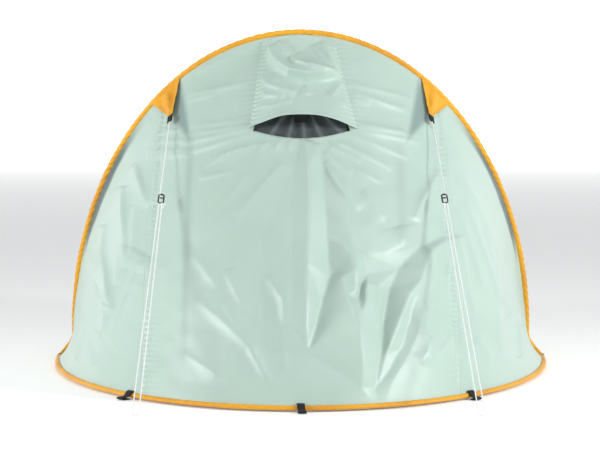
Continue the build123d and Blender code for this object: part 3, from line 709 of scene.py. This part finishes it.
VENT_WINDOW = [(-0.124, 0.681), (-0.066, 0.862), (0.066, 0.862), (0.130, 0.679)] + [
    (x, 0.680 - 0.020 * (1 - ((x - 0.003) / 0.127) ** 2) ** 1.1) for x in np.linspace(0.126, -0.120, 24)
]
WALL_SLOPE = 0.66
EDGE_ANGLE = math.degrees(TURN / ARCH_B)
wall_pieces = {
    "right": gore("rear_wall_right", REAR, EDGE_ANGLE, GORE_ANGLE, 130, 210, rear_height, rear_shade),
    "left": gore("rear_wall_left", REAR, 180 - GORE_ANGLE, 180 - EDGE_ANGLE, 130, 210, rear_height,
                 rear_shade),
    "centre": gore("rear_wall_centre", REAR, GORE_ANGLE - 0.9, 180.9 - GORE_ANGLE, 176, 232, rear_height,
                   rear_shade, proud=0.0012),
}
cut_outline(wall_pieces["centre"], VENT_WINDOW, False, WALL_SLOPE)


for side, piece in wall_pieces.items():
    cloth_finish(piece, mint_cloth, "rear_half", thickness=0.0009)
    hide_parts(f"rear_panel_{side}")

# ---------------------------------------------------------------------------------------------------
# Rear vent
# A net behind a lens-shaped gap, under a hood of wall cloth felled on along its top and sides. A stiff
# black prop, hinged at the net's edge, holds the hem out, and the spare cloth hangs in deep swags.
# ---------------------------------------------------------------------------------------------------
def skin_at(end, x, z, proud):
    """Points of an end wall that have these x and z, some way off the cloth."""
    angle, share = wall_place(x, z)
    return wall(end, angle, share) + outward(end, angle) * np.asarray(proud)[..., None]


# Swags of the hood: line of (x, z), height in mm, widths in mm above and below the line.
HOOD_FOLDS = [
    ([(-0.084, 0.905), (-0.076, 0.872), (-0.058, 0.842), (-0.030, 0.815), (0.010, 0.803), (0.060, 0.808),
      (0.106, 0.821)], 17, 8, 22),
    ([(-0.024, 0.868), (-0.010, 0.842), (0.018, 0.826), (0.060, 0.818), (0.104, 0.822)], 13, 7, 17),
    ([(-0.060, 0.915), (-0.040, 0.885), (-0.024, 0.868)], 6, 7, 12),
    ([(0.052, 0.915), (0.070, 0.880), (0.086, 0.845), (0.108, 0.820)], 9, 8, 13),
    ([(0.030, 0.905), (0.048, 0.870), (0.078, 0.838)], 6, 7, 12),
    ([(-0.100, 0.815), (-0.088, 0.790), (-0.055, 0.768), (-0.010, 0.752)], 8, 8, 18),
    ([(-0.112, 0.785), (-0.090, 0.758), (-0.040, 0.742)], 5, 8, 14),
    ([(0.008, 0.776), (0.016, 0.764), (0.020, 0.748)], 4, 6, 8),
    ([(0.110, 0.800), (0.092, 0.775), (0.078, 0.750)], 6, 12, 8),
    ([(0.112, 0.800), (0.120, 0.760), (0.118, 0.725)], 5, 12, 7),
    ([(0.066, 0.762), (0.104, 0.738), (0.128, 0.712)], 4, 6, 9),
    ([(-0.118, 0.735), (-0.07, 0.722), (-0.02, 0.730)], 3, 7, 9),
]


def hood_shape(u, v):
    """The hood: u goes across, v from its sewn top down to its lifted hem."""
    across = 2 * u - 1
    left = np.interp(v, [0, 1], [-0.101, -0.1295])
    right = np.interp(v, [0, 0.45, 1], [0.091, 0.114, 0.1445])
    x = left + (right - left) * u
    top = 0.936 - 0.018 * across**2
    hem = 0.679 + 0.008 * (1 - across**2) - 0.004 * (across + 1) / 2
    z = top + (hem - top) * v
    inside = (1 - np.abs(across) ** 5)
    lift = 0.048 * v**1.7 * (1 - across**2) ** 1.25
    calm = ease(v, 0.0, 0.08) * (1 - 0.5 * ease(v, 0.86, 1.0))
    folds = 1.75 * fold_height(x, z, HOOD_FOLDS) * inside * calm
    folds = folds + 0.004 * inside * wander(np.stack([x, z, 0 * x], axis=-1), (16, 16, 1), 2.2)
    gather = 0.0019 * np.sin(2 * np.pi * z / 0.0115) * np.exp(-(1 - np.abs(across)) / 0.10)
    hem_band = 0.0012 * ease(v, 0.955, 0.96)
    return skin_at(REAR, x, z, 0.0030 + lift + folds + gather + hem_band)


hood = cloth_sheet("vent_hood_cloth", 96, 110, hood_shape)
hood.data.attributes.new("shade", "FLOAT", "POINT")
cloth_finish(hood, mint_cloth, "rear_half", thickness=0.0009)
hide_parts("vent_hood")
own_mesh(hood)

net_cloth, shader = plain_material("vent_net", (0.04, 0.065, 0.068), 0.8)
nodes, links = net_cloth.node_tree.nodes, net_cloth.node_tree.links
place = nodes.new("ShaderNodeTexCoord")
holes = nodes.new("ShaderNodeTexVoronoi")
holes.inputs["Scale"].default_value = 700
ramp = nodes.new("ShaderNodeValToRGB")
ramp.color_ramp.elements[0].color = (0.040, 0.050, 0.053, 1)
ramp.color_ramp.elements[1].color = (0.105, 0.125, 0.130, 1)
ramp.color_ramp.elements[0].position = 0.30
ramp.color_ramp.elements[1].position = 0.55
links.new(place.outputs["Object"], holes.inputs["Vector"])
links.new(holes.outputs["Distance"], ramp.inputs["Fac"])
links.new(ramp.outputs["Color"], shader.inputs["Base Color"])


# Lighter colour for painted highlights on the net's pleat crests.
add_shade(net_cloth, (0.24, 0.27, 0.28))


def net_fan(x, z):
    """Height of the net's pleats, 0 in a valley and 1 on a crest."""
    return 0.5 + 0.5 * np.sin(np.degrees(np.arctan2(x, 0.78 - z)) / 3.2)


def net_shape(u, v):
    """The net: a little larger than the window, drawn into fine pleats that fan out from the prop."""
    across = 2 * u - 1
    half = 0.070 + 0.053 * v
    low = 0.677 - 0.024 * np.sqrt(np.clip(1 - across**2, 0, 1))
    x, z = across * half, 0.868 + (low - 0.868) * v
    pleat = 0.0070 * (1 - across**2) * (net_fan(x, z) - 1)
    return skin_at(REAR, x, z, pleat - 0.0055)


net = cloth_sheet("vent_net_cloth", 150, 60, net_shape)
# Painted highlights: the shade attribute lightens the net's pleat crests.
crest_highlights = [0.55 * net_fan(vertex.co.x, vertex.co.z) ** 6 for vertex in net.data.vertices]
net.data.attributes.new("shade", "FLOAT", "POINT").data.foreach_set("value", crest_highlights)
cloth_finish(net, net_cloth, "rear_half", thickness=0.0007)
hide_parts("vent_net")

black_plastic = plain_material("black_moulded", (0.018, 0.018, 0.02), 0.38)[0]
add_grain(black_plastic, 1500, 0.25)
black_webbing = plain_material("black_webbing", (0.012, 0.012, 0.013), 0.85)[0]
add_grain(black_webbing, 850, 0.6, ((0.007, 0.007, 0.008), (0.018, 0.018, 0.020)))
finish_node("vent_prop", black_plastic)


def along_line(line, share):
    """Points at shares of a line's length."""
    run = np.concatenate([[0], np.cumsum(np.linalg.norm(np.diff(line, axis=0), axis=1))])
    return np.stack([np.interp(share * run[-1], run, line[:, k]) for k in range(3)], axis=-1)


ROOF_SAG = 0.018
rear_line, front_line = standing_line(REAR), standing_line(FRONT)


def roof_shape(u, v):
    """The roof: u goes up one side and down the other, v from the rear hoop to the front one."""
    rear, front = along_line(rear_line, u), along_line(front_line, u)
    angle = np.arctan2(rear[:, 2], rear[:, 0])
    inward = -np.stack([np.cos(angle), 0 * angle, np.sin(angle)], axis=-1)
    width = np.linalg.norm(front - rear, axis=1)
    sag = ROOF_SAG * np.sin(np.pi * v) * np.clip(width / 0.9, 0, 1)
    flat = np.stack([u * 2.8, v * width, 0 * u], axis=-1)
    waves = 0.007 * wander(flat, (2.6, 3.2, 1), 5.5) + 0.0010 * wander(flat, (22, 22, 1), 6.1)
    streak = 0.0035 * wander(flat, (14, 1.6, 1), 8.8)
    seam = 0.0009 * np.sin(2 * np.pi * u * 2.8 / 0.014) * np.exp(-np.minimum(v, 1 - v) * width / 0.018)
    calm = np.clip(np.minimum(v, 1 - v) * width / 0.05, 0, 1) * np.clip(width / 0.25, 0, 1)
    drop = sag + (waves + streak) * calm + seam * calm
    return rear + (front - rear) * v[:, None] + inward * drop[:, None]


roof = cloth_sheet("roof_cloth", 300, 150, roof_shape)
across_share = np.tile(np.linspace(0, 1, 151)[:, None], (1, 301)).ravel()
roof.data.attributes.new("shade", "FLOAT", "POINT")
roof.data.attributes.new("across", "FLOAT", "POINT").data.foreach_set("value", across_share)
cloth_finish(roof, mint_cloth, None, thickness=0.0009)
kept = np.empty(len(roof.data.vertices), np.float32)
roof.data.attributes["across"].data.foreach_get("value", kept)
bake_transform(roof)
roof.data.attributes.remove(roof.data.attributes["across"])
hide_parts("roof_panel")

floor_cloth = plain_material("groundsheet_cloth", (0.20, 0.215, 0.22), 0.5)[0]
add_grain(floor_cloth, 9, 0.5, ((0.165, 0.18, 0.185), (0.235, 0.25, 0.255)), detail=8)


def sheet_shape(u, v):
    """The groundsheet, from the rear end (v = 0) to the front."""
    reach = GROUND_B + HOOP_GAP - 0.004
    y = -reach + 2 * reach * v
    inner = np.clip((np.abs(y) - HOOP_GAP) / (GROUND_B - 0.004), 0, 1)
    half = (GROUND_A - 0.004) * np.sqrt(np.clip(1 - inner**2, 0, 1)) + 1e-4
    x = (2 * u - 1) * half
    edge = np.clip((1 - np.abs(2 * u - 1)) * half / 0.02, 0, 1) * np.clip((1 - inner) / 0.02, 0, 1)
    wrinkle = 0.0012 * (1 + wander(np.stack([x, y, 0 * x], axis=-1), (9, 9, 1), 7.7)) * edge
    return np.stack([x, y, 0.0018 + wrinkle + 0.004 * (1 - edge)], axis=-1)


groundsheet = cloth_sheet("groundsheet_cloth", 140, 240, sheet_shape)
cloth_finish(groundsheet, floor_cloth, None, thickness=0.0008)
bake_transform(groundsheet)
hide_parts("groundsheet_rear", "groundsheet_front")

# ---------------------------------------------------------------------------------------------------
# Door end
# The same three gores, with a doorway whose coil zip runs up one side, over the top and down to the
# hinge side. A net hangs behind the door, and a toggle and loop hold the rolled door open.
# ---------------------------------------------------------------------------------------------------
def door_side(z):
    """Half width of the door at a height: straight sides and round top corners."""
    straight = 0.3118 - 0.0168 * (z - 0.0855) / 0.763
    corner = 0.085 + 0.210 * np.sqrt(np.clip(1 - ((z - 0.675) / 0.175) ** 2, 0, 1))
    return np.where(z < 0.675, straight, corner)


def door_outline(grow):
    """The doorway's outline in x and z, grown by some way."""
    round_corner = 0.675 + 0.175 * np.sin(np.linspace(0, np.pi / 2, 16))
    rise = np.concatenate([[0.0855], np.linspace(0.12, 0.66, 8), round_corner])
    side = []
    for z in rise:
        lift = grow * min(1, (z - 0.68) / 0.1) if z > 0.68 else 0
        side.append((float(door_side(z)) + grow, float(z + lift)))
    side[0] = (side[0][0], 0.0855 - grow)
    return side + [(-x, z) for x, z in reversed(side)]


def front_height(x, z, angle, share):
    """Loose cloth with a few long slanting draws, and puckers beside the seams."""
    flat = np.stack([x, z, 0 * x], axis=-1)
    draws = 0.006 * wander(flat, (9, 2.2, 1), 9.3) + 0.003 * wander(flat, (22, 6, 1), 11.9)
    doorway = ease(np.abs(outline_distance(x, z, DOORWAY)[0]), 0.005, 0.05)
    calm = ease(share, 0.0, 0.05) * (1 - 0.9 * ease(share, 0.94, 1.0)) * doorway
    return (draws + soft_waves(flat, 0.003, 0.0009)) * calm + seam_pucker(x, z, share) * ease(share, 0, 0.02)


def door_height(x, z, angle, share):
    """The door hangs a little looser than the wall."""
    flat = np.stack([x, z, 0 * x], axis=-1)
    distance = outline_distance(x, z, DOORWAY)[0]
    draws = 0.008 * wander(flat, (7, 2.5, 1), 13.3) + 0.0035 * wander(flat, (20, 8, 1), 15.1)
    pucker = 0.0009 * np.sin(2 * np.pi * (x + z) / 0.013) * np.exp(-np.abs(distance) / 0.02)
    return (draws + soft_waves(flat, 0.002, 0.0009) + pucker) * ease(-distance, 0.002, 0.05)


DOORWAY = door_outline(0.0)
front_pieces = {
    "right": gore("front_wall_right", FRONT, EDGE_ANGLE, GORE_ANGLE, 100, 170, front_height),
    "left": gore("front_wall_left", FRONT, 180 - GORE_ANGLE, 180 - EDGE_ANGLE, 100, 170, front_height),
    "centre": gore("front_wall_centre", FRONT, GORE_ANGLE - 0.9, 180.9 - GORE_ANGLE, 170, 220, front_height,
                   proud=0.0012),
}
cut_outline(front_pieces["centre"], DOORWAY, False, -WALL_SLOPE)
for side, piece in front_pieces.items():
    cloth_finish(piece, mint_cloth, "front_half", thickness=0.0009)
    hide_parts(f"front_panel_{side}")

door = gore("door_cloth", FRONT, 62.0, 118.0, 150, 200, door_height)
cut_outline(door, door_outline(-0.0012), True, -WALL_SLOPE)
cloth_finish(door, mint_cloth, "door", thickness=0.0009)
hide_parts("door_panel")



def net_height(x, z, angle, share):
    """The net hangs behind the door, a little loose away from its edge."""
    slack = 0.004 * wander(np.stack([x, z, 0 * x], axis=-1), (8, 3, 1), 17.2)
    return slack * ease(-outline_distance(x, z, DOORWAY)[0], 0, 0.05) - 0.0065


door_net = gore("door_net_cloth", FRONT, 60.5, 119.5, 90, 120, net_height)
cut_outline(door_net, door_outline(0.010), True, -WALL_SLOPE)
cloth_finish(door_net, net_cloth, "front_half", thickness=0.0007)
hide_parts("door_net")

# The zip's two tapes lie on the wall beside the doorway, with the coil between them.
zip_tape = plain_material("zip_tape", (0.035, 0.036, 0.040), 0.7)[0]
add_grain(zip_tape, 1100, 0.5)
ZIP_OUT = 0.008


def zip_path(grow):
    """The zip's line in x and z: up the slider's side, over the top and down the hinge side."""
    line = door_outline(grow)
    half = len(line) // 2
    line[0] = (line[0][0], line[0][1] + grow + 0.004)
    line[-1] = (line[-1][0], line[-1][1] + grow + 0.004)
    x, z = (np.array([point[k] for point in line]) for k in (0, 1))
    run = np.concatenate([[0], np.cumsum(np.hypot(np.diff(x), np.diff(z) / 0.833))])
    fine = np.linspace(0, run[-1], 900)
    return np.stack([np.interp(fine, run, x), np.interp(fine, run, z)], axis=-1), run[-1]


middle, zip_length = zip_path(ZIP_OUT)


def zip_shape(u, v):
    """A ribbon across the zip's line, with the coil raised in its middle."""
    at = u * (len(middle) - 1)
    x, z = (np.interp(at, np.arange(len(middle)), middle[:, k]) for k in (0, 1))
    steps = np.arange(len(middle))
    ahead = unit(np.stack([np.interp(at + 6, steps, middle[:, k]) - np.interp(at - 6, steps, middle[:, k])
                           for k in (0, 1)], axis=-1))
    across = (v - 0.5) * 0.0125
    tooth = 0.75 + 0.25 * np.sin(2 * np.pi * u * zip_length / 0.0030)
    coil = 0.0015 * np.exp(-(np.abs(v - 0.5) / 0.13) ** 4) * tooth
    return skin_at(FRONT, x + ahead[:, 1] * across, z - ahead[:, 0] * across * 0.833, 0.0020 + coil)


zip_piece = cloth_sheet("door_zip_tape", 1900, 16, zip_shape)
cloth_finish(zip_piece, zip_tape, "front_half", thickness=0.0008)
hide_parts("door_zip")
zip_metal, shader = plain_material("zip_metal", (0.60, 0.60, 0.61), 0.32)
shader.inputs["Metallic"].default_value = 1.0
add_grain(zip_metal, 900, 0.12)
finish_node("zip_slider", zip_metal)
finish_node("zip_pull", black_webbing)
finish_node("door_toggle", black_plastic)
finish_node("toggle_loop", black_webbing)

# ---------------------------------------------------------------------------------------------------
# Peg loops
# Short straps of black webbing sewn over the ground sleeves, folded back to make a loop for a peg. They
# have slipped round a little, so each lies slightly askew.
# ---------------------------------------------------------------------------------------------------
PEG_ANGLES = {"right": 53, "centre": 90, "left": 127}


def strap_shape(end, angle, skew):
    """A strap over the sleeve whose loop lies out on the ground."""
    turns = np.radians(np.linspace(200, 15, 22))
    over = [(0.0113 * math.cos(t), SLEEVE_R + 0.0108 * math.sin(t)) for t in turns]
    out = [(0.016, 0.0082), (0.024, 0.0066), (0.032, 0.0068), (0.0375, 0.0058), (0.0385, 0.0038),
           (0.0365, 0.0018), (0.030, 0.0012), (0.022, 0.0012), (0.014, 0.0014), (0.010, 0.0016)]
    path = np.array(over + out)
    run = np.concatenate([[0], np.cumsum(np.hypot(*np.diff(path, axis=0).T))])

    def shape(u, v):
        away, height = (np.interp(u * run[-1], run, path[:, k]) for k in (0, 1))
        offset = (v - 0.5) * 0.025
        at = angle + np.degrees(offset / 0.95)
        centre = ground(end, at)
        out_way = unit(ground(end, at) * [1, 1, 0] - [0, end * HOOP_GAP, 0])
        out_way[:, 0] *= (GROUND_B / GROUND_A)
        out_way = unit(out_way)
        side_way = np.stack([-out_way[:, 1], out_way[:, 0], 0 * away], axis=-1)
        slip = skew * np.clip(away / 0.038, -0.3, 1)
        points = centre + out_way * away[:, None] + side_way * slip[:, None]
        points[:, 2] = height
        return points

    return shape


for end, end_name in END_NAMES.items():
    for side, angle in PEG_ANGLES.items():
        skew = {"right": -0.004, "centre": 0.005, "left": -0.006}[side]
        strap = cloth_sheet(f"{end_name}_peg_strap_{side}", 70, 10, strap_shape(end, angle, skew))
        cloth_finish(strap, black_webbing, f"{end_name}_half", thickness=0.0012)
        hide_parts(f"{end_name}_peg_loop_{side}")

# ---------------------------------------------------------------------------------------------------
# Guy patches and tabs
# Orange cloth triangles whose base is sewn into the arch sleeve. The line's pull draws each one out flat
# and creases it towards its tip, where a black webbing tab takes the line.
# ---------------------------------------------------------------------------------------------------
PATCH_HIGH, PATCH_LOW = 60.8, 52.6


def patch_shape(end, side, tip):
    """u goes along the base on the sleeve, v from the base to the tip."""
    angles = np.array([PATCH_HIGH, PATCH_LOW]) if side > 0 else 180 - np.array([PATCH_HIGH, PATCH_LOW])

    def shape(u, v):
        base = arch(end, angles[0] + (angles[1] - angles[0]) * u)
        base = base + outward(end, angles.mean()) * 0.004
        width = 1 - v * (1 - 0.12)
        middle = base.mean(axis=0)
        points = middle + (base - middle) * width[:, None] + (np.array(tip) - middle) * v[:, None]
        crease = 0.0045 * np.cos(np.pi * 3 * (u - 0.5)) * np.sin(np.pi * np.clip(v * 1.1, 0, 1))
        crease = crease + 0.002 * wander(np.stack([u * 2, v * 2, 0 * u], axis=-1), (3, 3, 1), 3 + side)
        return points + outward(end, angles.mean()) * (crease * ease(v, 0, 0.15))[:, None]

    return shape


for end, end_name in END_NAMES.items():
    for side, side_name in SIDES.items():
        tip = (side * 0.352, end * 0.604, 0.722)
        patch = cloth_sheet(f"{end_name}_patch_{side_name}", 36, 36, patch_shape(end, side, tip))
        cloth_finish(patch, orange_cloth, f"{end_name}_half", thickness=0.0012)
        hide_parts(f"{end_name}_guy_patch_{side_name}")
        finish_node(f"{end_name}_guy_tab_{side_name}", black_webbing)

# ---------------------------------------------------------------------------------------------------
# Guylines
# Thin white braided line. One strand comes down from the patch's tab, the rest is a long loop to the
# ground whose return strand is knotted under the adjuster. The loop is ready for a peg.
# ---------------------------------------------------------------------------------------------------
LINE_D = 0.003
TIP = {side: Vector((side * 0.352, -0.604, 0.722)) for side in SIDES}
FOOT = {-1: Vector((-0.403, -1.294, 0.002)), 1: Vector((0.442, -1.294, 0.002))}
TAB_END = 0.0264               # from the tip to the far end of the webbing tab
ADJUSTER_FROM_TAB = 0.262
ADJUSTER_LENGTH = 0.032
STRAND_GAP = 0.008
PEG_TURN = 0.008


white_line, shader = plain_material("white_braid", (0.86, 0.87, 0.86), 0.6)
shader.inputs["Sheen Weight"].default_value = 0.3
add_grain(white_line, 900, 0.5, ((0.74, 0.75, 0.74), (0.92, 0.93, 0.92)))


def line_through(name, points):
    """A round line along a smooth spline with these control points."""
    data = bpy.data.curves.new(name, "CURVE")
    data.dimensions = "3D"
    data.bevel_depth = LINE_D / 2
    data.bevel_resolution = 4
    data.resolution_u = 12
    spline = data.splines.new("NURBS")
    spline.points.add(len(points) - 1)
    for point, place in zip(spline.points, points):
        point.co = (*place, 1)
    spline.order_u = 3
    spline.use_endpoint_u = True
    line = bpy.data.objects.new(name, data)
    scene.collection.objects.link(line)
    data.materials.append(white_line)
    return line


def centre_points(line):
    """The points that a line's spline follows, read with no bevel."""
    depth, line.data.bevel_depth = line.data.bevel_depth, 0
    bpy.context.view_layer.update()
    bare = bpy.data.meshes.new_from_object(line.evaluated_get(bpy.context.evaluated_depsgraph_get()))
    line.data.bevel_depth = depth
    return [vertex.co.copy() for vertex in bare.vertices]


for side, side_name in SIDES.items():
    pull = (FOOT[side] - TIP[side]).normalized()
    beside = Vector((-side, 0, 0))
    start = TIP[side] + pull * TAB_END
    middle = FOOT[side] + beside * PEG_TURN
    back = FOOT[side] + beside * 2 * PEG_TURN
    top = start + pull * (ADJUSTER_FROM_TAB + ADJUSTER_LENGTH) + beside * STRAND_GAP
    near = 6 * LINE_D
    rise = (top - back).normalized()
    main = line_through(f"guyline_{side_name}_line", [start, FOOT[side] - pull * near, FOOT[side], middle])
    loop = line_through(f"guyline_{side_name}_return_line", [middle, back, back + rise * near, top])
    main_path, loop_path = centre_points(main), centre_points(loop)
    bpy.context.view_layer.update()
    tube = bpy.data.meshes.new_from_object(loop.evaluated_get(bpy.context.evaluated_depsgraph_get()))
    loop_mesh = bpy.data.objects.new(f"guyline_{side_name}_return", tube)
    scene.collection.objects.link(loop_mesh)
    bpy.data.objects.remove(loop)
    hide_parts(f"guyline_{side_name}")
    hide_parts(f"guyline_return_{side_name}")
    for piece in (main, loop_mesh):
        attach(piece, "rear_half")
    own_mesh(loop_mesh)

# ---------------------------------------------------------------------------------------------------
# Knots and line adjusters
# Each adjuster is a small moulded black runner with two eyes. The line passes one eye and its end is
# knotted under the other, so the knot slides with the runner.
# ---------------------------------------------------------------------------------------------------
def join(name, pieces):
    """Join mesh pieces into one with its place in its mesh."""
    bpy.ops.object.select_all(action="DESELECT")
    for piece in pieces:
        piece.select_set(True)
    bpy.context.view_layer.objects.active = pieces[0]
    bpy.ops.object.transform_apply(location=True, rotation=True, scale=True)
    bpy.ops.object.join()
    bpy.context.object.name = name
    return bpy.context.object


for side, side_name in SIDES.items():
    pull = (FOOT[side] - TIP[side]).normalized()
    beside = (Vector((-side, 0, 0)) - pull * Vector((-side, 0, 0)).dot(pull)).normalized()
    face = pull.cross(beside).normalized()
    centre = TIP[side] + pull * (TAB_END + ADJUSTER_FROM_TAB + ADJUSTER_LENGTH / 2) + beside * STRAND_GAP / 2
    stand = Matrix((beside, pull, face)).transposed().to_4x4()
    stand.translation = centre

    bpy.ops.object.select_all(action="DESELECT")
    bpy.ops.mesh.primitive_torus_add(major_radius=0.0068, minor_radius=0.0021, major_segments=48,
                                     minor_segments=14)
    rim = bpy.context.object
    for vertex in rim.data.vertices:
        vertex.co.y += math.copysign(0.0085, vertex.co.y) if abs(vertex.co.y) > 1e-6 else 0
        vertex.co.z *= 1.15
    bars = [rim]
    bpy.ops.mesh.primitive_cylinder_add(vertices=14, radius=0.0018, depth=0.0125, location=(0, -0.0030, 0),
                                        rotation=(0, math.pi / 2, 0))
    bars.append(bpy.context.object)
    runner = join(f"adjuster_{side_name}_runner", bars)
    bpy.ops.object.shade_smooth_by_angle(angle=math.radians(50))
    runner.data.transform(stand)
    runner.data.materials.clear()
    runner.data.materials.append(black_plastic)
    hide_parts(f"line_adjuster_{side_name}")
    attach(runner, f"adjuster_{side_name}")

    turns = []
    for tilt, size in ((0.0, 0.0036), (0.9, 0.0033), (-0.8, 0.0031)):
        bpy.ops.mesh.primitive_torus_add(major_radius=size, minor_radius=0.0015, major_segments=24,
                                         minor_segments=10, rotation=(math.pi / 2 + tilt, tilt * 0.6, 0))
        turns.append(bpy.context.object)
    bpy.ops.mesh.primitive_cylinder_add(vertices=12, radius=0.0014, depth=0.018,
                                        location=(0.0045, 0.008, 0.001), rotation=(1.4, 0.5, 0.4))
    turns.append(bpy.context.object)
    knot = join(f"guyline_{side_name}_knot", turns)
    bpy.ops.object.shade_smooth_by_angle(angle=math.radians(50))
    lower = stand.copy()
    lower.translation = centre + pull * (ADJUSTER_LENGTH / 2 + 0.004) + beside * STRAND_GAP / 2
    knot.data.transform(lower)
    knot.data.materials.clear()
    knot.data.materials.append(white_line)
    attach(knot, f"adjuster_{side_name}")
